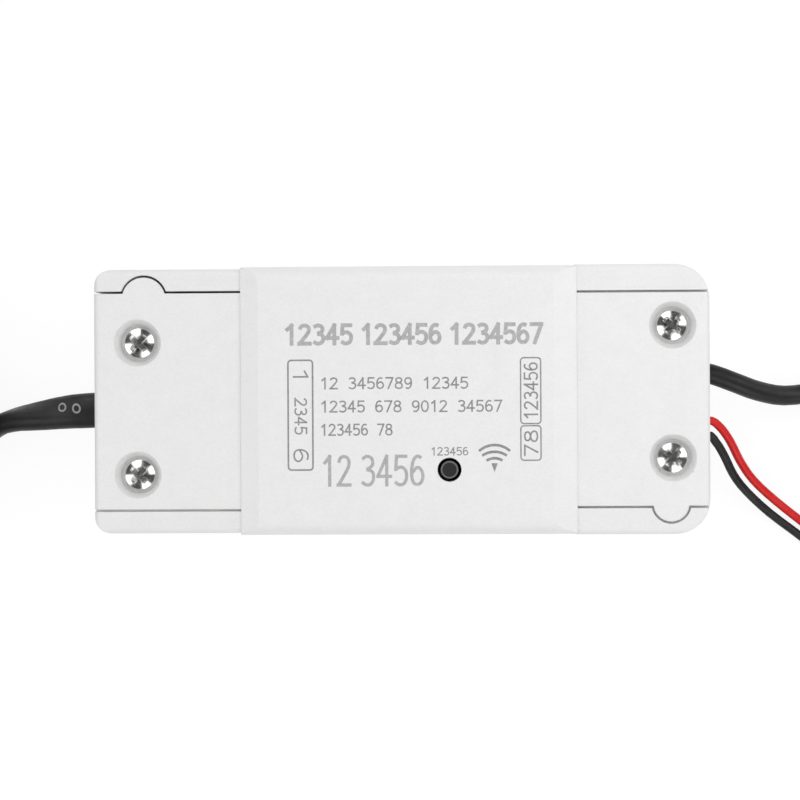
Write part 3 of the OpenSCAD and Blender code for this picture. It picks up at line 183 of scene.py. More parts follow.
# %% World
STUDIO = [(0.0, 0.3), (0.1, 0.1), (0.2, 0.1), (0.3, 2.9), (0.9, 3.0), (0.95, 0.2), (1.0, 0.15)]
SHEETS, SHEET_EDGE, GAP_LIGHT = 4, (-0.1, 0.5), 0.04
EVEN_WHITE = (0.76, 0.93)
world = bpy.data.worlds.new("studio_air")
world.use_nodes = True
scene.world = world
sky = world.node_tree
way = parts(sky, sky.nodes.new("ShaderNodeTexCoord").outputs["Generated"])
even = remap(sky, way["Z"], 0.0, 1.0, *EVEN_WHITE)
ring = sky.nodes.new("ShaderNodeValToRGB")
while len(ring.color_ramp.elements) < len(STUDIO):
    ring.color_ramp.elements.new(1.0)
for element, (height, light) in zip(ring.color_ramp.elements, STUDIO):
    element.position = height
    element.color = (light, light, light, 1)
sky.links.new(way["Z"], ring.inputs["Fac"])
wave = calc(sky, "SINE", calc(sky, "MULTIPLY", calc(sky, "ARCTAN2", way["Y"], way["X"]), SHEETS))
sheets = remap(sky, wave, *SHEET_EDGE, GAP_LIGHT, 1.0)
mirror_sky = calc(sky, "MULTIPLY", ring.outputs["Color"], sheets)
choose = sky.nodes.new("ShaderNodeMix")
sky.links.new(sky.nodes.new("ShaderNodeLightPath").outputs["Is Glossy Ray"], choose.inputs["Factor"])
sky.links.new(even, choose.inputs["A"])
sky.links.new(mirror_sky, choose.inputs["B"])
sky.links.new(choose.outputs["Result"], sky.nodes["Background"].inputs["Strength"])
sky.nodes["Background"].inputs["Color"].default_value = (1, 1, 1, 1)
scene.view_settings.view_transform = "Standard"
print("world:", world.name)

# %% [markdown]
# ## Building blocks for the finishes
# A finish is more than a colour. Moulded plastic has a fine grain, metal has marks from the tool that
# made it, and edges that are touched often turn smooth. Each of these effects returns on several
# pieces, so each is a node group with named inputs, and a material only says how much of it it wants.

# %% Nodes that the groups share
def noise(tree, place, scale, detail=2.0):
    """Cloudy noise from 0 to 1."""
    node = tree.nodes.new("ShaderNodeTexNoise")
    tree.links.new(place, node.inputs["Vector"])
    link_or_set(tree, scale, node.inputs["Scale"])
    node.inputs["Detail"].default_value = detail
    return node.outputs[0]


def joined(tree, *values):
    """A vector from its X, Y and Z."""
    node = tree.nodes.new("ShaderNodeCombineXYZ")
    for value, socket in zip(values, node.inputs):
        link_or_set(tree, value, socket)
    return node.outputs[0]


def object_place(tree):
    """Place of a point on its own object, in metres."""
    return tree.nodes.new("ShaderNodeTexCoord").outputs["Object"]


def unrolled_place(tree):
    """Place of a point on the unrolled skin of a lead: metres along and metres around."""
    return parts(tree, tree.nodes.new("ShaderNodeTexCoord").outputs["UV"])


# %% How a node group is made and used
def new_group(name, inputs, outputs):
    """An empty node group with number inputs and the named outputs."""
    print("group:", name)
    group = bpy.data.node_groups.new(name, "ShaderNodeTree")
    for label, value in inputs.items():
        socket = group.interface.new_socket(label, in_out="INPUT", socket_type="NodeSocketFloat")
        socket.default_value = value
    for label in outputs:
        kind = "NodeSocketVector" if label == "Normal" else "NodeSocketFloat"
        group.interface.new_socket(label, in_out="OUTPUT", socket_type=kind)
    return group, group.nodes.new("NodeGroupInput").outputs, group.nodes.new("NodeGroupOutput").inputs


def use(tree, group, **values):
    """A node group in a material, with its inputs set."""
    node = tree.nodes.new("ShaderNodeGroup")
    node.node_tree = group
    for label, value in values.items():
        link_or_set(tree, value, node.inputs[label])
    return node.outputs


# %% [markdown]
# ### Grain
# A mould is etched or spark eroded, and leaves tiny bumps of a quarter of a millimetre. From a
# distance they show as faint speckle. A few dark specks are grains of burnt plastic, which white
# mouldings hardly ever lack. An image of such a surface would repeat; noise doesn't.

# %% Group: fine grain
SPECK_STEP = 3.2 * MM
WIDER, SMALL_SHARE, TONE_GAIN = 0.12, 0.7, 4.0
fine_grain, given, result = new_group(
    "fine_grain", {"Size": 0.25 * MM, "Tone": 0.03, "Specks": 0.0}, ["Shade", "Height"])
do = partial(calc, fine_grain)
spot = object_place(fine_grain)
finer = do("DIVIDE", 1.0, given["Size"])
small = noise(fine_grain, spot, finer, 3.0)
wide = noise(fine_grain, spot, do("MULTIPLY", finer, WIDER), 2.0)
both = do("ADD", do("MULTIPLY", small, SMALL_SHARE), do("MULTIPLY", wide, 1 - SMALL_SHARE))
cells = fine_grain.nodes.new("ShaderNodeTexVoronoi")
fine_grain.links.new(spot, cells.inputs["Vector"])
cells.inputs["Scale"].default_value = 1 / SPECK_STEP
near = remap(fine_grain, cells.outputs["Distance"], 0.02, 0.06, 1.0, 0.0)
chosen = remap(fine_grain, parts(fine_grain, cells.outputs["Color"])["X"], 0.72, 0.98)
dots = do("MULTIPLY", do("MULTIPLY", near, chosen), given["Specks"])
sway = do("MULTIPLY", do("SUBTRACT", both, 0.5), do("MULTIPLY", given["Tone"], TONE_GAIN))
fine_grain.links.new(do("SUBTRACT", do("ADD", sway, 1.0), dots), result["Shade"])
fine_grain.links.new(small, result["Height"])

# %% [markdown]
# ### Soft edges and rubbed edges
# No moulded or stamped edge is perfectly sharp. The Bevel node looks a short way around each point
# and gives the normal that a small rounding would have. Where that normal differs from the flat one
# there is an edge, and the size of the difference is a mask for wear. A bevel modifier would do it
# in the mesh, but it breaks on bored and rounded solids.

# %% Group: edge rub
PATCH_SIZE = 1.5 * MM
edge_rub, given, result = new_group("edge_rub", {"Radius": 0.25 * MM, "Reach": 0.5}, ["Mask", "Normal"])
rounded = edge_rub.nodes.new("ShaderNodeBevel")
rounded.samples = 6
edge_rub.links.new(given["Radius"], rounded.inputs["Radius"])
flat = edge_rub.nodes.new("ShaderNodeNewGeometry")
agree = edge_rub.nodes.new("ShaderNodeVectorMath")
agree.operation = "DOT_PRODUCT"
edge_rub.links.new(rounded.outputs["Normal"], agree.inputs[0])
edge_rub.links.new(flat.outputs["Normal"], agree.inputs[1])
patchy = noise(edge_rub, object_place(edge_rub), 1 / PATCH_SIZE, 3.0)
edge = remap(edge_rub, agree.outputs["Value"], 0.72, 0.99, 1.0, 0.0)
held_back = remap(edge_rub, calc(edge_rub, "ADD", patchy, given["Reach"]), 0.6, 1.2)
edge_rub.links.new(calc(edge_rub, "MULTIPLY", edge, held_back), result["Mask"])
edge_rub.links.new(rounded.outputs["Normal"], result["Normal"])

# %% [markdown]
# ### Mottle
# Gloss is never even: fingers, cooling and plating baths leave cloudy patches. They could be painted
# by hand, but that takes a map for each piece. Slow noise between two values does it on all of them,
# and mostly drives roughness.

# %% Group: soft mottle
soft_mottle, given, result = new_group("soft_mottle", {"Size": 10 * MM, "Low": 0.4, "High": 0.6}, ["Value"])
finer = calc(soft_mottle, "DIVIDE", 1.0, given["Size"])
cloud = noise(soft_mottle, object_place(soft_mottle), finer, 4.0)
soft_mottle.links.new(remap(soft_mottle, cloud, 0.3, 0.7, given["Low"], given["High"]), result["Value"])

# %% [markdown]
# ### Drawn lines
# Jackets are pressed through a die, so they carry faint lines along their length. Ridges in the
# profile would give lines too, but all alike. The swept leads have a map with metres along and metres
# around, and noise that is squeezed in one direction of that map turns into lines.

# %% Group: drawn lines
drawn_lines, given, result = new_group("drawn_lines", {"Along": 40.0, "Across": 4000.0}, ["Height"])
times = partial(calc, drawn_lines, "MULTIPLY")
pull = unrolled_place(drawn_lines)
squeezed = joined(drawn_lines, times(pull["X"], given["Along"]), times(pull["Y"], given["Across"]))
drawn_lines.links.new(noise(drawn_lines, squeezed, 1.0, 3.0), result["Height"])

# %% [markdown]
# ### Tool marks on metal
# Stamped and headed metal keeps short straight scratches from its tool. An anisotropic shader would
# stretch the highlights, but it draws no scratch. Two sets of squeezed noise, turned against each
# other, are enough for parts as small as these.

# %% Group: tool marks
tool_marks, given, result = new_group("tool_marks", {"Size": 0.12 * MM, "Stretch": 0.06}, ["Height"])
do = partial(calc, tool_marks)
axis = parts(tool_marks, object_place(tool_marks))
finer = do("DIVIDE", 1.0, given["Size"])
slow = do("MULTIPLY", finer, given["Stretch"])
marks = []
for quick, lazy in (("X", "Y"), ("Y", "X")):
    speeds = ((quick, finer), (lazy, slow), ("Z", slow))
    squeezed = joined(tool_marks, *(do("MULTIPLY", axis[label], speed) for label, speed in speeds))
    marks.append(noise(tool_marks, squeezed, 1.0, 2.0))
tool_marks.links.new(do("MULTIPLY", do("ADD", *marks), 0.5), result["Height"])

# %% [markdown]
# ### Tracks under the green mask
# A circuit board is copper under a thin green coat, and the tracks stand out as paler lines. Each
# track could be a curve of its own, but the closed box hides the board. A brick pattern has the same
# straight runs and steps; noise hides part of its joints, so it doesn't look like a wall.

# %% Group: board tracks
BRICKS = {"Mortar Size": 0.07, "Mortar Smooth": 0.2, "Brick Width": 1.6, "Row Height": 0.55}
HIDDEN_SIZE = 5 * MM
board_tracks, given, result = new_group("board_tracks", {"Pitch": 2.4 * MM}, ["Mask"])
spot = object_place(board_tracks)
joints = board_tracks.nodes.new("ShaderNodeTexBrick")
board_tracks.links.new(spot, joints.inputs["Vector"])
board_tracks.links.new(calc(board_tracks, "DIVIDE", 1.0, given["Pitch"]), joints.inputs["Scale"])
for label, value in BRICKS.items():
    joints.inputs[label].default_value = value
gaps = remap(board_tracks, noise(board_tracks, spot, 1 / HIDDEN_SIZE, 1.0), 0.46, 0.5)
board_tracks.links.new(calc(board_tracks, "MULTIPLY", joints.outputs["Fac"], gaps), result["Mask"])

# %% [markdown]
# ### Wound bands
# Tape round a transformer and turns of wire on a drum both show as level lines, one above the other.
# Each turn could be a ring in the mesh, but so many rings weigh more than they show. A sine of the
# height gives the same bands, for the colour and for the relief.

# %% Group: wound bands
wound_bands, given, result = new_group("wound_bands", {"Pitch": 0.6 * MM}, ["Height"])
level = parts(wound_bands, object_place(wound_bands))["Z"]
turns = calc(wound_bands, "DIVIDE", level, given["Pitch"])
wave = calc(wound_bands, "SINE", calc(wound_bands, "MULTIPLY", turns, 2 * math.pi))
wound_bands.links.new(remap(wound_bands, wave, -1.0, 1.0), result["Height"])

# %% [markdown]
# ## Plastics
# The housing is white and slightly matt, the relay's case smooth, the plug coarse. Each could have a
# node tree of its own, but all of them need the same four things: a colour with grain, an uneven
# gloss, softened edges, and a bump so fine that it only breaks up the highlights. So one function
# makes them, and what differs is how strong each of these is.

# %% A material to start from
def begin(name):
    """A new material, with its node tree and its main shader."""
    material = bpy.data.materials.new(name)
    material.use_nodes = True
    return material, material.node_tree, material.node_tree.nodes["Principled BSDF"]


def mix(tree, share, first, second, kind="MIX"):
    """Mixes two colours."""
    node = tree.nodes.new("ShaderNodeMix")
    node.data_type = "RGBA"
    node.blend_type = kind
    for socket, value in zip((node.inputs[0], node.inputs[6], node.inputs[7]), (share, first, second)):
        link_or_set(tree, value, socket)
    return node.outputs[2]


# %% What a material does with its effects
def paint(tree, shader, colour, shade):
    """Gives the shader its colour, made lighter and darker by a shade."""
    tree.links.new(mix(tree, 1.0, colour, shade, "MULTIPLY"), shader.inputs["Base Color"])


def gloss(tree, shader, low, high, size=10.0):
    """Gives the shader a roughness that changes slowly between two values; size is in millimetres."""
    cloud = use(tree, soft_mottle, Size=size * MM, Low=low, High=high)["Value"]
    tree.links.new(cloud, shader.inputs["Roughness"])


def bump(tree, shader, height, depth, normal=None):
    """Gives the shader small relief; depth is in millimetres."""
    node = tree.nodes.new("ShaderNodeBump")
    node.inputs["Distance"].default_value = depth * MM
    tree.links.new(height, node.inputs["Height"])
    if normal is not None:
        tree.links.new(normal, node.inputs["Normal"])
    tree.links.new(node.outputs["Normal"], shader.inputs["Normal"])


# %% Moulded plastic
WORN_PALE = 0.25


def plastic(name, colour, rough, size=0.25, tone=0.03, specks=0.0, depth=0.004, edge=0.25, rub=0.15):
    """Moulded plastic; size, depth and edge are in millimetres."""
    material, tree, shader = begin(name)
    grain = use(tree, fine_grain, Size=size * MM, Tone=tone, Specks=specks)
    rim = use(tree, edge_rub, Radius=edge * MM)
    pale = tuple(c + (1 - c) * WORN_PALE for c in colour)
    worn = mix(tree, calc(tree, "MULTIPLY", rim["Mask"], rub), (*colour, 1), (*pale, 1))
    paint(tree, shader, worn, grain["Shade"])
    gloss(tree, shader, rough - 0.05, rough + 0.06)
    bump(tree, shader, grain["Height"], depth, rim["Normal"])
    return material


def dress(material, *names):
    """Gives a finish to solids of the model."""
    for name in names:
        nodes[name].data.materials.clear()
        nodes[name].data.materials.append(material)


# %% White housing
shell_white = plastic("white_shell", (0.87, 0.87, 0.867), 0.5, size=0.3, tone=0.045, specks=0.2)
cover_white = plastic("white_cover", (0.88, 0.88, 0.877), 0.48, size=0.3, tone=0.045, specks=0.2)
dress(shell_white, "base_shell")
dress(cover_white, "top_cover", "input_end_cover", "output_end_cover")
dress(plastic("white_sensor", (0.86, 0.86, 0.85), 0.45, specks=0.1), "sensor_body")
print("housing:", shell_white.name, cover_white.name)

# %% Black and coloured mouldings
MOULDED_BLACK = (0.05, 0.05, 0.052)
dress(plastic("switch_moulding", MOULDED_BLACK, 0.5, tone=0.12),
      "switch_body", "transformer_foot", "bridge_rectifier")
dress(plastic("relay_case", (0.045, 0.17, 0.5), 0.32, size=0.5, depth=0.002, edge=0.5), "relay")
dress(plastic("terminal_moulding", (0.07, 0.36, 0.16), 0.4, edge=0.3),
      "input_terminal", "output_terminal", "sensor_terminal")
dress(plastic("plug_moulding", (0.035, 0.035, 0.037), 0.55, size=0.35, tone=0.15, depth=0.01, edge=0.6),
      "mains_plug")
tie_strip = plastic("tie_strip", MOULDED_BLACK, 0.4, tone=0.12, edge=0.12)
print("mouldings dressed, and a strip for the ties:", tie_strip.name)

# %% Dipped and sleeved parts of the board
dress(plastic("blue_dip", (0.1, 0.27, 0.5), 0.25, size=0.8, tone=0.05, depth=0.01), "varistor")
dress(plastic("green_dip", (0.28, 0.42, 0.16), 0.25, size=0.8, tone=0.05, depth=0.01), "fuse_resistor")
dress(plastic("dark_sleeve", (0.045, 0.06, 0.12), 0.2, size=1.2, tone=0.08, depth=0.004),
      "input_capacitor", "output_capacitor")
print("dips and sleeves dressed")

# %% [markdown]
# ### The button
# The bevel round the top of a button catches the light, so it is painted paler than the flat middle:
# a painted highlight. The bevel's faces lean, and the height of a face's normal tells how much, so it
# picks them out. Painting the bevel by its distance from the middle would need the middle's place as a
# number.

# %% Button
def facing_up(tree):
    """How far a face looks up: 1 for a level face, 0 for a wall."""
    return parts(tree, tree.nodes.new("ShaderNodeNewGeometry").outputs["True Normal"])["Z"]


satin, tree, shader = begin("satin_button")
shader.inputs["Specular IOR Level"].default_value = 0.3
facing = facing_up(tree)
# Painted highlight: the bevel's leaning faces, picked by their normals, get a paler colour than the flat
# top.
steeper = remap(tree, facing, 0.8, 0.92, 1.0, 0.0)
painted_bevel_highlight = calc(tree, "MULTIPLY", remap(tree, facing, 0.5, 0.62), steeper)
grain = use(tree, fine_grain, Size=0.18 * MM, Tone=0.3)
tone = mix(tree, painted_bevel_highlight, (0.022, 0.022, 0.023, 1), (0.2, 0.2, 0.2, 1))
paint(tree, shader, tone, grain["Shade"])
gloss(tree, shader, 0.38, 0.52, 0.6)
bump(tree, shader, grain["Height"], 0.003)
dress(satin, "pairing_button")
print("button:", satin.name)

# %% [markdown]
# ## Ferrite, tape and clear resin
# Ferrite is sintered from powder: dark, dull and gritty. The winding over it is wrapped in yellow
# tape. The drum of the inductor is ferrite too, and shows the turns of its wire. Bands of colour and
# relief do for both, without a turn in the mesh. The status light is a drop of clear resin. It could be
# pure glass, but cast resin is a little cloudy, so only a part of its light goes through.

# %% Ferrite and tape
def banded(name, colour, dark, rough, pitch, depth):
    """Level bands of two tones, with relief."""
    material, tree, shader = begin(name)
    bands = use(tree, wound_bands, Pitch=pitch * MM)
    grain = use(tree, fine_grain, Size=0.3 * MM, Tone=0.08)
    paint(tree, shader, mix(tree, bands["Height"], (*dark, 1), (*colour, 1)), grain["Shade"])
    gloss(tree, shader, rough - 0.06, rough + 0.08)
    bump(tree, shader, bands["Height"], depth)
    return material


dress(plastic("sintered_ferrite", (0.1, 0.1, 0.1), 0.72, size=0.18, tone=0.25, depth=0.02, rub=0.3),
      "transformer_core")
dress(banded("yellow_tape", (0.85, 0.62, 0.08), (0.7, 0.46, 0.05), 0.3, 2.2, 0.03), "transformer_winding")
dress(banded("wound_drum", (0.17, 0.12, 0.08), (0.07, 0.055, 0.05), 0.45, 0.35, 0.05), "filter_inductor")
print("ferrite and tape dressed")

# %% Clear resin
clear, tree, shader = begin("clear_resin")
shader.inputs["Transmission Weight"].default_value = 0.7
shader.inputs["IOR"].default_value = 1.5
paint(tree, shader, (0.88, 0.92, 0.95, 1), use(tree, fine_grain, Size=0.2 * MM, Tone=0.03)["Shade"])
gloss(tree, shader, 0.06, 0.16, 0.6)
dress(clear, "status_light")
print("clear part:", clear.name)

# %% [markdown]
# ## Circuit boards
# The green coat is glossy and thin. Over copper it looks paler and stands a little higher. Such a
# step is a few hundredths of a millimetre, too low to be worth a mesh, so the mask of the tracks picks
# the colour and lifts the bump.

# %% Green mask
mask, tree, shader = begin("green_mask")
track = use(tree, board_tracks)["Mask"]
green = mix(tree, track, (0.02, 0.17, 0.06, 1), (0.07, 0.32, 0.13, 1))
paint(tree, shader, green, use(tree, fine_grain, Size=0.4 * MM, Tone=0.06)["Shade"])
gloss(tree, shader, 0.22, 0.36, 4.0)
bump(tree, shader, track, 0.035)
dress(mask, "circuit_board", "radio_board")
print("boards:", mask.name)

# %% [markdown]
# ## Metals
# The cover screws are zinc plated steel, headed in a die and pressed with a cross. Plating is bright
# but a little cloudy, and scratched where the driver has turned. With one colour and one roughness it
# looks like paint, so both change from spot to spot. The crowns should mirror the sheets above them
# more than the walls of their recesses, as flatter ones do, so their normals are eased towards upright.
# The contacts are tinned, the plug's blades are brass, and the aerial's track is gold.

# %% Metal in general
def metal(name, colour, rough, size=0.12, depth=0.003, edge=0.15, dull=0.25, ease=0.0):
    """Bright metal with tool marks and cloudy plating; ease turns a crown's normals towards upright."""
    material, tree, shader = begin(name)
    shader.inputs["Metallic"].default_value = 1.0
    marks = use(tree, tool_marks, Size=size * MM)
    rim = use(tree, edge_rub, Radius=edge * MM)
    bright = use(tree, soft_mottle, Size=1.6 * MM, Low=1 - dull, High=1.0)["Value"]
    paint(tree, shader, (*colour, 1), bright)
    cloudy = use(tree, soft_mottle, Size=0.9 * MM, Low=rough - 0.05, High=rough + 0.1)["Value"]
    rubbed = calc(tree, "MULTIPLY", rim["Mask"], 0.1)
    tree.links.new(calc(tree, "ADD", cloudy, rubbed), shader.inputs["Roughness"])
    crown = tree.nodes.new("ShaderNodeMix")
    crown.data_type = "VECTOR"
    tree.links.new(remap(tree, facing_up(tree), 0.5, 0.65, 0.0, ease), crown.inputs[0])
    tree.links.new(rim["Normal"], crown.inputs[4])
    crown.inputs[5].default_value = (0, 0, 1)
    bump(tree, shader, marks["Height"], depth, crown.outputs[1])
    return material


# %% Screws, contacts, blades and aerial
dress(metal("zinc_plate", (0.74, 0.74, 0.73), 0.1, ease=0.5), "cover_screws", "terminal_screws")
tinned = metal("tinned_steel", (0.76, 0.76, 0.73), 0.28)
dress(tinned, "switch_plate", "switch_legs", "radio_shield")
dress(metal("blade_brass", (0.78, 0.58, 0.28), 0.26, size=0.2, edge=0.3, dull=0.1), "plug_blades")
dress(metal("gold_track", (0.86, 0.63, 0.25), 0.3, edge=0.05), "radio_antenna")
print("metals dressed")

# %% [markdown]
# ## Print on the cover
# The cover of such a box is pad printed in grey: frames beside the terminals, a radio sign near the
# button, and rows of figures. Text objects are the short way to print, but their letters are filled
# shapes in one weight. Here each figure is a pen line: a few points that a soft curve goes through,
# turned into a ribbon of a chosen width that lies a few thousandths of a millimetre above the cover.

# %% A soft curve through chosen points
def through(points, steps):
    """Points of a soft curve through rows of numbers, with steps new points for each given one."""
    last = len(points) - 1
    rows = []
    for i in range(last):
        a, b = points[max(i - 1, 0)], points[i]
        c, d = points[i + 1], points[min(i + 2, last)]
        for k in range(steps):
            t = k / steps
            rows.append([
                0.5 * (2 * q + (r - p) * t + (2 * p - 5 * q + 4 * r - s) * t**2
                       + (3 * q - p - 3 * r + s) * t**3)
                for p, q, r, s in zip(a, b, c, d)
            ])
    rows.append(list(points[last]))
    return rows


# %% Ribbons
COVER_TOP, INK_LIFT, INK_LAYER = 23.0, 0.004, 0.001
pads = {"grey_print": ([], []), "pale_print": ([], [])}


def press(pad, points, faces, layer):
    """Adds a flat patch to one of the two prints; points are in millimetres on the cover."""
    verts, polygons = pads[pad]
    first = len(verts)
    level = COVER_TOP + INK_LIFT + INK_LAYER * layer
    verts.extend(Vector((x, y, level)) * MM for x, y in points)
    polygons.extend(tuple(first + k for k in face) for face in faces)


def ribbon(points, width, layer=0, pad="grey_print"):
    """A flat line that follows points. A line that ends where it starts is closed."""
    last = len(points) - 1
    closed = math.dist(points[0], points[last]) < 1e-6
    rim = []
    for i, (x, y) in enumerate(points):
        before = points[i - 1] if i > 0 else points[last - 1] if closed else points[0]
        after = points[i + 1] if i < last else points[1] if closed else points[last]
        way = Vector((after[0] - before[0], after[1] - before[1])).normalized()
        side = Vector((-way.y, way.x)) * (width / 2)
        rim += [(x + side.x, y + side.y), (x - side.x, y - side.y)]
    press(pad, rim, [(2 * i, 2 * i + 1, 2 * i + 3, 2 * i + 2) for i in range(last)], layer)


def straight(first, last, width, layer, pad):
    """A straight line with square ends that reach over its two points."""
    way = Vector((last[0] - first[0], last[1] - first[1])).normalized() * (width / 2)
    ends = [(first[0] - way.x, first[1] - way.y), (last[0] + way.x, last[1] + way.y)]
    ribbon(ends, width, layer, pad)


# %% [markdown]
# ### Figures as pen lines
# Each figure fits a box that is one unit high. Lines with more than four points are drawn as soft
# curves, the others keep their corners and are drawn piece by piece. Pieces that meet lie on top of
# each other like layers of ink, because two faces at the same height flicker.

# %% Pen lines of the ten figures
CORNERED, CURVE_STEPS = 4, 4
FIGURES = {
    "0": [[(0.3, 1), (0.1, 0.86), (0.02, 0.5), (0.1, 0.14), (0.3, 0),
           (0.5, 0.14), (0.58, 0.5), (0.5, 0.86), (0.3, 1)]],
    "1": [[(0.12, 0.78), (0.36, 1), (0.36, 0)]],
    "2": [[(0.04, 0.78), (0.12, 0.94), (0.3, 1), (0.5, 0.93), (0.56, 0.74), (0.44, 0.5), (0.04, 0.02)],
          [(0, 0), (0.6, 0)]],
    "3": [[(0.04, 0.9), (0.26, 1), (0.5, 0.92), (0.52, 0.68), (0.24, 0.54)],
          [(0.24, 0.54), (0.52, 0.46), (0.58, 0.24), (0.46, 0.04), (0.24, 0), (0.02, 0.1)]],
    "4": [[(0.42, 1), (0, 0.3), (0.6, 0.3)], [(0.42, 1), (0.42, 0)]],
    "5": [[(0.54, 1), (0.1, 1), (0.06, 0.54)],
          [(0.06, 0.54), (0.3, 0.62), (0.52, 0.52), (0.58, 0.3), (0.48, 0.06), (0.24, 0), (0.02, 0.1)]],
    "6": [[(0.5, 0.94), (0.3, 1), (0.12, 0.86), (0.03, 0.54), (0.05, 0.22), (0.14, 0.06), (0.3, 0)],
          [(0.3, 0), (0.48, 0.08), (0.57, 0.3), (0.48, 0.53), (0.28, 0.6), (0.04, 0.4)]],
    "7": [[(0.02, 1), (0.58, 1), (0.2, 0)]],
    "8": [[(0.3, 1), (0.1, 0.92), (0.08, 0.68), (0.3, 0.55), (0.52, 0.68), (0.5, 0.92), (0.3, 1)],
          [(0.3, 0.55), (0.06, 0.42), (0.04, 0.12), (0.3, 0), (0.56, 0.12), (0.54, 0.42), (0.3, 0.55)]],
    "9": [[(0.56, 0.6), (0.32, 0.4), (0.12, 0.47), (0.03, 0.7), (0.12, 0.92), (0.3, 1)],
          [(0.3, 1), (0.46, 0.94), (0.55, 0.78), (0.57, 0.46), (0.48, 0.14), (0.3, 0), (0.1, 0.06)]],
}
FIGURE_W, INKED, MARGIN = 0.6, 0.76, 0.12
print("pen lines:", sum(len(lines) for lines in FIGURES.values()))


# %% A row of figures
def figures(text, corner, height, width, pen, turn=0, pad="grey_print"):
    """A row of figures from its lower left corner, fitted to a width, turned by quarter turns."""
    step = width / len(text)
    for k, letter in enumerate(text):
        layer = 0
        for line in FIGURES.get(letter, []):
            flat = [((k + MARGIN + p[0] / FIGURE_W * INKED) * step, p[1] * height) for p in line]
            for _ in range(turn % 4):
                flat = [(-y, x) for x, y in flat]
            there = [(corner[0] + x, corner[1] + y) for x, y in flat]
            if len(there) > CORNERED:
                ribbon(through(there, CURVE_STEPS), pen, layer, pad)
                layer += 1
            else:
                for first, last in zip(there, there[1:]):
                    straight(first, last, pen, layer, pad)
                    layer += 1


# %% Frames and arcs
def arc(middle, r, first, last, steps):
    """Points on a part of a circle, from one angle to another in degrees."""
    angles = [math.radians(first + (last - first) * k / steps) for k in range(steps + 1)]
    return [(middle[0] + r * math.cos(a), middle[1] + r * math.sin(a)) for a in angles]


def frame_line(x0, y0, x1, y1, r, pen):
    """A rectangle with rounded corners."""
    points = []
    middles = ((x1 - r, y1 - r), (x0 + r, y1 - r), (x0 + r, y0 + r), (x1 - r, y0 + r))
    for quarter, middle in enumerate(middles):
        points += arc(middle, r, 90 * quarter, 90 * quarter + 90, 4)
    ribbon([*points, points[0]], pen)


# %% Frames with their figures, in millimetres on the cover
frame_line(-16.0, -9.85, -12.5, 5.75, 0.45, 0.24)
figures("1", (-15.2, 4.9), 2.0, 2.6, 0.24, 3)
figures("2345", (-15.0, 0.5), 1.6, 5.4, 0.22, 3)
figures("6", (-15.2, -6.6), 2.0, 2.4, 0.24, 3)
frame_line(17.05, -3.4, 19.9, 5.95, 0.45, 0.2)
figures("123456", (19.4, -2.9), 1.8, 8.3, 0.24, 1)
frame_line(17.05, -8.6, 19.9, -3.7, 0.45, 0.2)
figures("78", (19.4, -8.2), 1.8, 4.0, 0.24, 1)
print("faces of the frames:", len(pads["grey_print"][1]))

# %% Rows of figures and the radio sign, in millimetres on the cover
for text, x, width in (("12345", -16.6, 9.9), ("123456", -5.7, 11.6), ("1234567", 6.9, 13.4)):
    figures(text, (x, 8.12), 2.58, width, 0.55, pad="pale_print")
figures("12 3456789 12345", (-11.5, 1.7), 1.5, 21.2, 0.22)
figures("12345 678 9012 34567", (-11.5, -1.6), 1.5, 26.0, 0.22)
figures("123456 78", (-11.5, -4.9), 1.5, 10.4, 0.22)
for text, x, width in (("12", -11.4, 4.4), ("3456", -5.9, 9.4)):
    figures(text, (x, -12.0), 4.05, width, 0.46, pad="pale_print")
figures("123456", (4.2, -7.8), 1.05, 5.45, 0.16)
for level, r, half in ((-9.7, 3.28, 42), (-10.43, 3.05, 35), (-10.31, 2.02, 34)):
    ribbon(arc((13.3, level), r, 90 - half, 90 + half, 16), 0.38)
press("grey_print", [(12.85, -9.0), (13.3, -10.25), (13.75, -9.0)], [(0, 1, 2)], 0)
print("faces of the print:", {name: len(pad[1]) for name, pad in pads.items()})

# %% [markdown]
# ### Ink
# Pad ink is thin. It lies unevenly over the grain and the white shows through. One flat grey would
# look like a sticker, so the grey changes from spot to spot.

# %% The print as two meshes, one for each ink
def ink(name, dark, light):
    """Thin grey ink."""
    material, tree, shader = begin(name)
    patch = use(tree, soft_mottle, Size=0.5 * MM, Low=0.0, High=1.0)["Value"]
    tone = mix(tree, patch, (dark, dark, dark, 1), (light, light, light, 1))
    paint(tree, shader, tone, use(tree, fine_grain, Size=0.22 * MM, Tone=0.1)["Shade"])
    gloss(tree, shader, 0.4, 0.55, 2.0)
    return material


inks = {"grey_print": ink("grey_ink", 0.22, 0.36), "pale_print": ink("pale_ink", 0.4, 0.52)}
for name, (verts, polygons) in pads.items():
    printed = add_mesh(name, verts, polygons, inks[name])
    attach(printed, "housing")
    print("print:", name, len(polygons), "faces")

# %% [markdown]
# ## Skins of the leads
# Soft PVC is matt and a little greasy. It is pressed round the wires through a die, which leaves
# lines along the lead, and it picks up pale dust and scuffs. A mains lead carries printed figures,
# which come back every few centimetres. As a mesh of its own the print would have to follow each bend
# of the lead; in the skin it bends with it. Here it is plain noughts: rings drawn from the distance to
# two points of the unrolled skin, with the way along the lead cut into equal lengths.

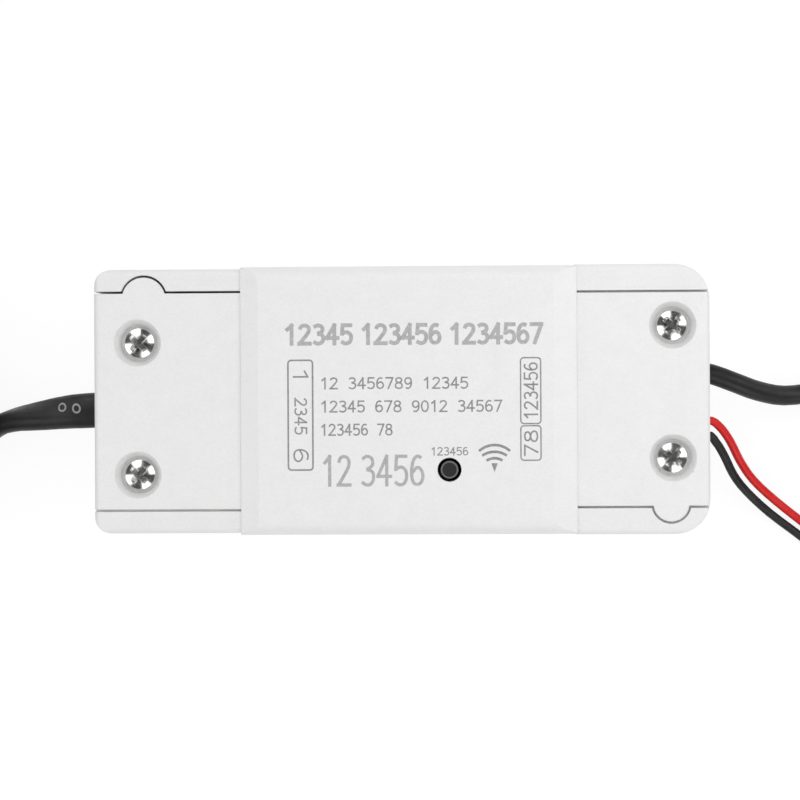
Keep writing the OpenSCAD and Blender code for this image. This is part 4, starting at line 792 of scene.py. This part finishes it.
# %% Group: two noughts, again and again along a lead
NOUGHT_PLACES = (9.4 * MM, 11.5 * MM)
NOUGHT_R_ALONG, NOUGHT_R_AROUND = 0.5 * MM, 0.62 * MM
noughts, given, result = new_group("noughts", {"Period": 40 * MM, "Middle": 0.0}, ["Mask"])
do = partial(calc, noughts)
way = unrolled_place(noughts)
along = do("MODULO", way["X"], given["Period"])
rise = do("DIVIDE", do("SUBTRACT", way["Y"], given["Middle"]), NOUGHT_R_AROUND)
rings = []
for place in NOUGHT_PLACES:
    reach = do("DIVIDE", do("SUBTRACT", along, place), NOUGHT_R_ALONG)
    square = do("ADD", do("POWER", reach, 2.0), do("POWER", rise, 2.0))
    off = do("ABSOLUTE", do("SUBTRACT", do("SQRT", square), 1.0))
    rings.append(remap(noughts, off, 0.16, 0.3, 1.0, 0.0))
noughts.links.new(do("ADD", *rings), result["Mask"])

# %% Skins
DUST_PALE = 0.12


def skin(name, colour, rough, scuffs, marked=None):
    """Soft insulation with drawn lines and pale scuffs; marked is where round the lead its print lies."""
    material, tree, shader = begin(name)
    shader.inputs["Specular IOR Level"].default_value = 0.25
    cloud = use(tree, soft_mottle, Size=5 * MM, Low=0.0, High=scuffs)["Value"]
    pale = tuple(c + (1 - c) * DUST_PALE for c in colour)
    tone = mix(tree, cloud, (*colour, 1), (*pale, 1))
    if marked is not None:
        tone = mix(tree, use(tree, noughts, Middle=marked)["Mask"], tone, (0.34, 0.34, 0.33, 1))
    paint(tree, shader, tone, use(tree, fine_grain, Size=0.2 * MM, Tone=0.05)["Shade"])
    gloss(tree, shader, rough - 0.06, rough + 0.08, 3.0)
    bump(tree, shader, use(tree, drawn_lines)["Height"], 0.012)
    return material


JACKET_BLACK = (0.012, 0.012, 0.013)
jacket = skin("black_jacket", JACKET_BLACK, 0.42, 0.15)
red_skin = skin("red_insulation", (0.72, 0.016, 0.016), 0.34, 0.1)
brown_skin = skin("brown_core", (0.26, 0.12, 0.05), 0.36, 0.3)
print("skins:", jacket.name, red_skin.name, brown_skin.name)

# %% [markdown]
# ## Leads: a profile swept along a path
# Four leads leave the box: a flat mains lead on the left, and a round relay lead and two thin sensor
# wires on the right. A curve with a bevel is the quick way to a cable. A flat lead has to turn over
# on its way to the coil, though, and a curve leaves that twist to Blender. So the tube is built by
# hand: rings of points square to the path, each turned by its own twist, and faces between the rings.
# Its UV map is the lead's skin unrolled in metres: the way along the lead, and the way round it.

# %% Length of a path, and profiles
def path_length(rows):
    """Length along a row of points."""
    return sum(math.dist(a[:3], b[:3]) for a, b in zip(rows, rows[1:]))


def round_profile(width, height, sides):
    """A flat oval with straight long sides, or a circle where width and height are the same."""
    r = height / 2
    run = (width - height) / 2
    corners = []
    for k in range(sides):
        a = 2 * math.pi * (k + 0.5) / sides
        corners.append((r * math.cos(a) + math.copysign(run, math.cos(a)), r * math.sin(a)))
    return corners


# %% The sweep itself
def rings_along(rows, profile):
    """Points of a profile set square to a path, at each of its rows of x, y, z and twist in degrees."""
    points = []
    for i, row in enumerate(rows):
        ahead = Vector(rows[min(i + 1, len(rows) - 1)][:3]) - Vector(rows[max(i - 1, 0)][:3])
        side = Vector((0, 0, 1)).cross(ahead).normalized()
        up = ahead.cross(side).normalized()
        cos, sin = math.cos(math.radians(row[3])), math.sin(math.radians(row[3]))
        for u, v in profile:
            points.append(Vector(row[:3]) + (side * (u * cos - v * sin) + up * (u * sin + v * cos)))
    return points


def sweep(name, rows, profile, material):
    """A closed tube along rows of x, y, z and twist in degrees."""
    sides, last = len(profile), len(rows) - 1
    run, girth = [0.0], [0.0]
    for a, b in zip(rows, rows[1:]):
        run.append(run[-1] + math.dist(a[:3], b[:3]))
    for k in range(sides):
        girth.append(girth[-1] + math.dist(profile[k], profile[(k + 1) % sides]))
    faces, unrolled = [], []
    for i in range(last):
        for k in range(sides):
            a, b = i * sides + k, i * sides + (k + 1) % sides
            faces.append((a, b, b + sides, a + sides))
            unrolled += [run[i], girth[k], run[i], girth[k + 1]]
            unrolled += [run[i + 1], girth[k + 1], run[i + 1], girth[k]]
    faces.append(tuple(reversed(range(sides))))
    faces.append(tuple(range(last * sides, last * sides + sides)))
    unrolled += [0.0] * (4 * sides)
    tube = add_mesh(name, rings_along(rows, profile), faces, material)
    tube.data.polygons.foreach_set("use_smooth", [len(f) == 4 for f in faces])
    tube.data.uv_layers.new(name="run_and_girth").data.foreach_set("uv", unrolled)
    return tube


# %% [markdown]
# ## Coils
# Past the edges of the picture each lead lies put away in a flat coil. A coil drawn point by point
# would be a long table of numbers. A loop does it: the angle grows by a fixed step, the radius
# shrinks to the middle of the lead and grows again, and in the middle the lead climbs to a second
# layer, so both of its ends come out on the outside.

# %% A two-layer coil
TURN_STEPS = 24


def soft_step(t):
    """From 0 to 1 without a corner."""
    t = max(0.0, min(1.0, t))
    return t * t * (3 - 2 * t)


def coil(middle, first_angle, sense, steps, radius, pitch, level, rise, run, twist):
    """Rows for a coil, with a straight run of the lead at each end."""
    turns = steps / TURN_STEPS
    half = turns / 2

    def place(u):
        r = radius - pitch * (half - abs(u - half))
        a = math.radians(first_angle + sense * 360 * u)
        z = level + rise * soft_step((u - half) / 0.5 + 0.5)
        return [middle[0] + r * math.cos(a), middle[1] + r * math.sin(a), z]

    def off(u, way):
        a = math.radians(first_angle + sense * 360 * u)
        x, y, z = place(u)
        return [x - way * sense * math.sin(a), y + way * sense * math.cos(a), z]

    rows = [place(turns * i / steps) for i in range(steps + 1)]
    return [p + [twist] for p in [off(0, -run), *rows, off(turns, run)]]


# %% From a route to a path
def in_metres(rows):
    """Millimetres to metres, with the twist left as it is."""
    return [[x * MM, y * MM, z * MM, twist] for x, y, z, twist in rows]


def lead_path(route, turns, tail=()):
    """One soft path through a route, a coil and a tail, all in millimetres."""
    flat = [list(p) + [0] if len(p) == 3 else list(p) for p in [*route, *turns, *tail]]
    return through(in_metres(flat), 3)


# %% Routes of the four leads, in millimetres
MAINS_W, MAINS_T, RELAY_D, WIRE_D = 5.2, 3.2, 3.0, 1.3
SPLIT_Z = 8.5
mains_route = [
    (-38.5, -1.2, 8.5, 0), (-44, -1.2, 8.5, 0), (-47, -1.3, 8.4, 10), (-50, -1.5, 7.8, 30),
    (-54, -2, 6.6, 55), (-58, -2.6, 5.2, 80), (-61.2, -3.8, 4.2, 90), (-64.5, -6.6, 3.7, 90),
]
mains_tail = [
    (-65.2, -3.5, 11.8, 90), (-68.5, -9.2, 15, 90), (-74.3, -12.5, 17.2, 90),
    (-80.9, -12.5, 18.3, 90), (-85.9, -10, 18.5, 90), (-88.1, -7.8, 18.5, 90),
]
relay_route = [
    (39, 3.8, 8.5), (43.6, 3.8, 8.5), (45.6, 3.4, 8.3), (49, 2.15, 7.3), (52, 1.1, 5.7),
    (56, 0.4, 3.6), (61, 1, 2.1), (66, 2.6, 1.58), (72, 4.6, 1.56), (78, 5.8, 1.56),
    (84, 5.2, 1.56), (89, 3, 1.65), (94, -0.8, 2),
]
red_route = [
    (30.4, -2.66, 8.5), (34, -2.66, 8.5), (37, -3.1, 8.5), (44, -3.1, 8.5), (46, -3.9, 8.1),
    (47.8, -6.2, 6.8), (49.4, -9.2, 5), (51.5, -12.1, 3.2), (55, -15.3, 1.4), (60, -19.3, 0.7),
    (65, -23.5, 1),
]
black_route = [
    (30.4, -7.74, 8.5), (34, -7.74, 8.5), (37.4, -5.2, 8.5), (44, -5.2, 8.5), (45.6, -6.3, 8.1),
    (47, -8.5, 7), (48.4, -11.2, 5.2), (50.4, -13.7, 3.4), (54, -17, 1.4), (59, -20.8, 0.7),
    (63, -24.3, 1), (66.4, -26.6, 2.2),
]
red_tail = [(95, -28.6, 4.9), (100, -24.6, 4.5), (103.5, -22.8, 4.4)]
black_tail = [(94, -27.6, 6.2), (99, -23.2, 4.8), (103.5, -21.2, 4.4)]
print("points of the routes:", [len(r) for r in (mains_route, relay_route, red_route, black_route)])

# %% Paths with their coils
MAINS_MIDDLE, RELAY_MIDDLE, SENSOR_MIDDLE = (-97, 0), (111.3, 11), (82, -15.7)
MAINS_R, RELAY_R, SENSOR_R = 31.5, 19.3, 16.8
mains_turns = coil(MAINS_MIDDLE, -30, -1, 141, MAINS_R, 3.7, 3.6, 5.7, MAINS_W, 90)
relay_turns = coil(RELAY_MIDDLE, -120, 1, 128, RELAY_R, 3.5, 2.5, 3.5, RELAY_D, 0)
red_turns = coil(SENSOR_MIDDLE, -130, 1, 148, SENSOR_R, 1.85, 1.65, 3.6, WIRE_D, 0)
black_turns = coil(SENSOR_MIDDLE, -130, 1, 148, SENSOR_R, 1.85, 3.45, 3.6, WIRE_D, 0)
mains_path = lead_path(mains_route, mains_turns, mains_tail)
relay_path = lead_path(relay_route, relay_turns)
red_path = lead_path(red_route, red_turns, red_tail)
black_path = lead_path(black_route, black_turns, black_tail)
lead_paths = (mains_path, relay_path, red_path, black_path)
print("lead lengths in mm:", [round(path_length(rows) / MM) for rows in lead_paths])

# %% [markdown]
# ## Cores and stripped ends
# Inside the box each lead is cut back to its cores, which go into the terminals. At its far end the
# relay lead has two stripped cores, ready for the terminals of a door opener. Their bare tips are
# twisted strands. Each strand could be swept alone, but a profile with seven lobes that turns on its
# way looks the same and is one mesh.

# %% Thin cores, and pieces that move with the box
def core(name, points, diameter, material):
    """A thin core along points in millimetres."""
    rows = through(in_metres([[*p, 0] for p in points]), 4)
    return sweep(name, rows, round_profile(diameter * MM, diameter * MM, 12), material)


def adopt(piece, slot, *stands_for):
    """Makes a new piece move with the box, in place of solids where they are named."""
    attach(piece, "housing")
    if stands_for:
        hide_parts(*stands_for)


# %% Cores in the terminals
TERMINAL_STEP = 2.54
MAINS_Y, RELAY_Y = -1.2, 3.8
IN_X, OUT_X, OUT_Y = -32.0, 33.4, 5.2
MAINS_CORE_D, RELAY_CORE_D = 1.9, 1.2

for sign, word in ((-1, "low"), (1, "high")):
    y0, y1 = MAINS_Y + sign, MAINS_Y + sign * TERMINAL_STEP
    line = [(x, y, SPLIT_Z) for x, y in ((-38.5, y0), (-37.2, y0), (IN_X - 1.4, y1), (IN_X + 3, y1))]
    mains_core = core("mains_core_" + word, line, MAINS_CORE_D, brown_skin)
    adopt(mains_core, "core_brown", *(["mains_cores"] if sign > 0 else []))
    y0, y1 = RELAY_Y + sign * RELAY_D / 4, OUT_Y + sign * TERMINAL_STEP
    line = [(x, y, SPLIT_Z) for x, y in ((39, y0), (38, y0), (OUT_X + 1.4, y1), (OUT_X - 3, y1))]
    relay_core = core("relay_core_" + word, line, RELAY_CORE_D, jacket)
    adopt(relay_core, "lead_black", *(["relay_lead_cores"] if sign > 0 else []))
print("cores in place")

# %% Profile of the twisted strands
STRANDS, STRANDS_R, TIP_STEPS, TIP_TWIST = 7, 0.4 * MM, 24, 9.0
lobes = []
for k in range(6 * STRANDS):
    a = 2 * math.pi * k / (6 * STRANDS)
    r = STRANDS_R * (0.9 + 0.1 * math.cos(STRANDS * a))
    lobes.append((r * math.cos(a), r * math.sin(a)))
print("corners of the strands:", len(lobes))

# %% Stripped ends of the relay lead
coil_out = Vector(relay_turns[-1][:3])
bend = [(0.7, 0, 0), (1.2, 6, -1.2), (2, 11, -3.6), (2.4, 14, -4.8)]
bare = [bend[-1], (2.6, 18, -5.3)]
stripped = []
for sign, word in ((-1, "left"), (1, "right")):
    line = [tuple(coil_out + Vector((sign * x, y, z))) for x, y, z in bend]
    end = core("relay_end_" + word, line, RELAY_CORE_D, jacket)
    first, last = (coil_out + Vector((sign * x, y, z)) for x, y, z in bare)
    rows = [[*(first.lerp(last, k / TIP_STEPS) * MM), TIP_TWIST * k] for k in range(TIP_STEPS + 1)]
    tip = sweep("relay_tip_" + word, rows, lobes, tinned)
    adopt(end, "lead_black", *(["relay_lead_ends"] if sign > 0 else []))
    adopt(tip, "contact_steel", *(["relay_lead_tips"] if sign > 0 else []))
    stripped += [end.name, tip.name]
print("stripped ends:", stripped)

# %% [markdown]
# ## Twist ties
# Each coil is held by a twist tie, a plastic strip with a wire in it, bent round the bundle and twisted
# shut. It could be drawn point by point, but then it would have to be drawn again for every change of a
# coil. The strip lies close on the leads, so its outline is the one that a rubber band would take: the
# convex hull of their sections. Blender can work that out for flat points. So the leads are cut where
# the tie sits, a ring of points is drawn round each cut, and the hull of all the rings is the tie.

# %% Cuts through a coil
def cuts(rows, middle, out):
    """Distance from the middle and height where a path goes through the upright plane along out."""
    found = []
    for a, b in zip(rows, rows[1:]):
        first, second = Vector(a[:2]) - middle, Vector(b[:2]) - middle
        before, after = out.cross(first), out.cross(second)
        if before * after < 0 and first.dot(out) > 0:
            t = before / (before - after)
            found.append((first.lerp(second, t).dot(out), a[2] + (b[2] - a[2]) * t))
    return found


# %% Outline of a tie
TIE_W, TIE_T, TIE_GAP = 3.4 * MM, 0.6 * MM, 0.15 * MM
RING = [2 * math.pi * (k + 0.5) / 24 for k in range(24)]


def tie_outline(leads, middle, out, coil_radius):
    """The hull of all the cuts through the leads of a coil."""
    rim = []
    for rows, wide, high in leads:
        r, run = wide / 2 + TIE_GAP, (high - wide) / 2
        for far, level in cuts(rows, middle, out):
            if far < coil_radius + wide:
                rim += [(far + r * math.cos(a), level + math.copysign(run, math.sin(a)) + r * math.sin(a))
                        for a in RING]
    return [Vector(rim[k]) for k in geometry.convex_hull_2d(rim)]


# %% A tie round a coil
TWISTS, TWIST_STEP, TWIST_TURN = 24, 0.4 * MM, 35.0
TWIST_W, TWIST_T, TWIST_LIFT = 2.2 * MM, 1.1 * MM, 0.8 * MM


def twist_tie(name, leads, coil_spot, coil_radius, solid, way):
    """A strip round the leads at the place of its solid, with its twisted ends along the coil."""
    middle = Vector(coil_spot) * MM
    corners = [solid.matrix_world @ Vector(c) for c in solid.bound_box]
    out = ((sum(corners, Vector()) / 8).to_2d() - middle).normalized()
    loop = tie_outline(leads, middle, out, coil_radius)
    along = Vector((-out.y, out.x, 0)) * way
    verts, faces = [], []
    for i, p in enumerate(loop):
        run = (loop[(i + 1) % len(loop)] - loop[i - 1]).normalized()
        for spot in (p, p + Vector((run.y, -run.x)) * TIE_T):
            flat = Vector((*(middle + out * spot.x), spot.y))
            verts += [flat - along * TIE_W / 2, flat + along * TIE_W / 2]
        a, b = 4 * i, 4 * ((i + 1) % len(loop))
        faces += [(a + j, a + k, b + k, b + j) for j, k in ((0, 1), (3, 2), (1, 3), (2, 0))]
    strip = add_mesh(name, verts, faces, tie_strip)
    top = max(p.y for p in loop) + TIE_T
    upper = [p.x for p in loop if p.y > top - 2 * TIE_T]
    start = Vector((*(middle + out * (sum(upper) / len(upper))), top + TWIST_LIFT))
    rows = [[*(start + along * (k * TWIST_STEP)), TWIST_TURN * k] for k in range(TWISTS)]
    ends = sweep(name + "_ends", rows, round_profile(TWIST_W, TWIST_T, 8), tie_strip)
    adopt(strip, "tie_black", solid.name)
    adopt(ends, "tie_black")
    print("tie:", name, len(loop), "points round")
    return [strip.name, ends.name]


# %% Three ties
wires = [(rows, WIRE_D * MM, WIRE_D * MM) for rows in (red_path, black_path)]
mains_ties = twist_tie("mains_twist_tie", [(mains_path, MAINS_T * MM, MAINS_W * MM)],
                       MAINS_MIDDLE, MAINS_R * MM, nodes["mains_tie"], -1)
relay_ties = twist_tie("relay_twist_tie", [(relay_path, RELAY_D * MM, RELAY_D * MM)],
                       RELAY_MIDDLE, RELAY_R * MM, nodes["relay_lead_tie"], 1)
sensor_ties = twist_tie("sensor_twist_tie", wires,
                        SENSOR_MIDDLE, SENSOR_R * MM, nodes["sensor_tie"], 1)

# %% [markdown]
# ## Lips in the seams
# Three of the four seams beside the end covers are grey, not black, so something white closes them a
# little below the surface: a lip on the edge of the tray, which keeps dust out. Painting the seams
# grey would hold for one light only. A white lip takes its grey from the light that gets into the
# slot, and the deeper it lies, the darker it looks.

# %% Three lips
SEAM_W, LIP_H, COVER_Z = 0.3, 0.8, 21.2
IN_SEAM_Y, OUT_SEAM_Y, SEAM_END = 15.6, 15.35, 43.8
SEAM_IN_X, SEAM_OUT_X = -22.6, 24.8
EAR_X, EAR_Y, EAR_R = 38.4, -14.9, 2.7


def lip(name, points, deep):
    """A white strip in a seam, with its top the given depth below the covers, all in millimetres."""
    z = COVER_Z - deep - LIP_H / 2
    u, v = SEAM_W / 2 * MM, LIP_H / 2 * MM
    rows = in_metres([[x, y, z, 0] for x, y in points])
    strip = sweep(name, rows, [(u, -v), (u, v), (-u, v), (-u, -v)], shell_white)
    strip.data.shade_flat()
    adopt(strip, "shell_white")


reach = math.degrees(math.acos((-OUT_SEAM_Y - EAR_Y) / -EAR_R))
ear = arc((EAR_X, EAR_Y), EAR_R, -90 - reach, -90 + reach, 24)
lip("input_seam_lip", [(-SEAM_END, -IN_SEAM_Y), (SEAM_IN_X, -IN_SEAM_Y)], 0.75)
lip("output_seam_lip", [(SEAM_OUT_X, OUT_SEAM_Y), (SEAM_END, OUT_SEAM_Y)], 1.35)
lip("output_ear_lip", [(SEAM_OUT_X, -OUT_SEAM_Y), *ear, (SEAM_END, -OUT_SEAM_Y)], 1.05)
print("lips in three seams")

# %% [markdown]
# ## Leads in their places
# Paths and skins are ready, so the leads can be swept. The print on the mains lead lies in the middle
# of its flat side, and the skin has to be told how far round the lead that is.

# %% Mains lead
flat_oval = round_profile(MAINS_W * MM, MAINS_T * MM, 20)
to_top = [math.dist(flat_oval[k], flat_oval[k + 1]) for k in range(5)]
mains_skin = skin("mains_jacket", JACKET_BLACK, 0.42, 0.15, sum(to_top) - to_top[-1] / 2)
mains = sweep("mains_cable", mains_path, flat_oval, mains_skin)
adopt(mains, "lead_black", "mains_lead", "mains_lead_coil", "mains_lead_tail")
print("lead:", mains.name)

# %% Relay lead
relay_cable = sweep("relay_cable", relay_path, round_profile(RELAY_D * MM, RELAY_D * MM, 14), jacket)
adopt(relay_cable, "lead_black", "relay_lead", "relay_lead_coil")
print("lead:", relay_cable.name)

# %% Sensor wires
thin_round = round_profile(WIRE_D * MM, WIRE_D * MM, 10)
red_wire = sweep("red_sensor_wire", red_path, thin_round, red_skin)
adopt(red_wire, "wire_red", "sensor_wire_red", "sensor_coil_red", "sensor_tail_red")
black_wire = sweep("black_sensor_wire", black_path, thin_round, jacket)
adopt(black_wire, "lead_black", "sensor_wire_black", "sensor_coil_black", "sensor_tail_black")
print("leads:", red_wire.name, black_wire.name)
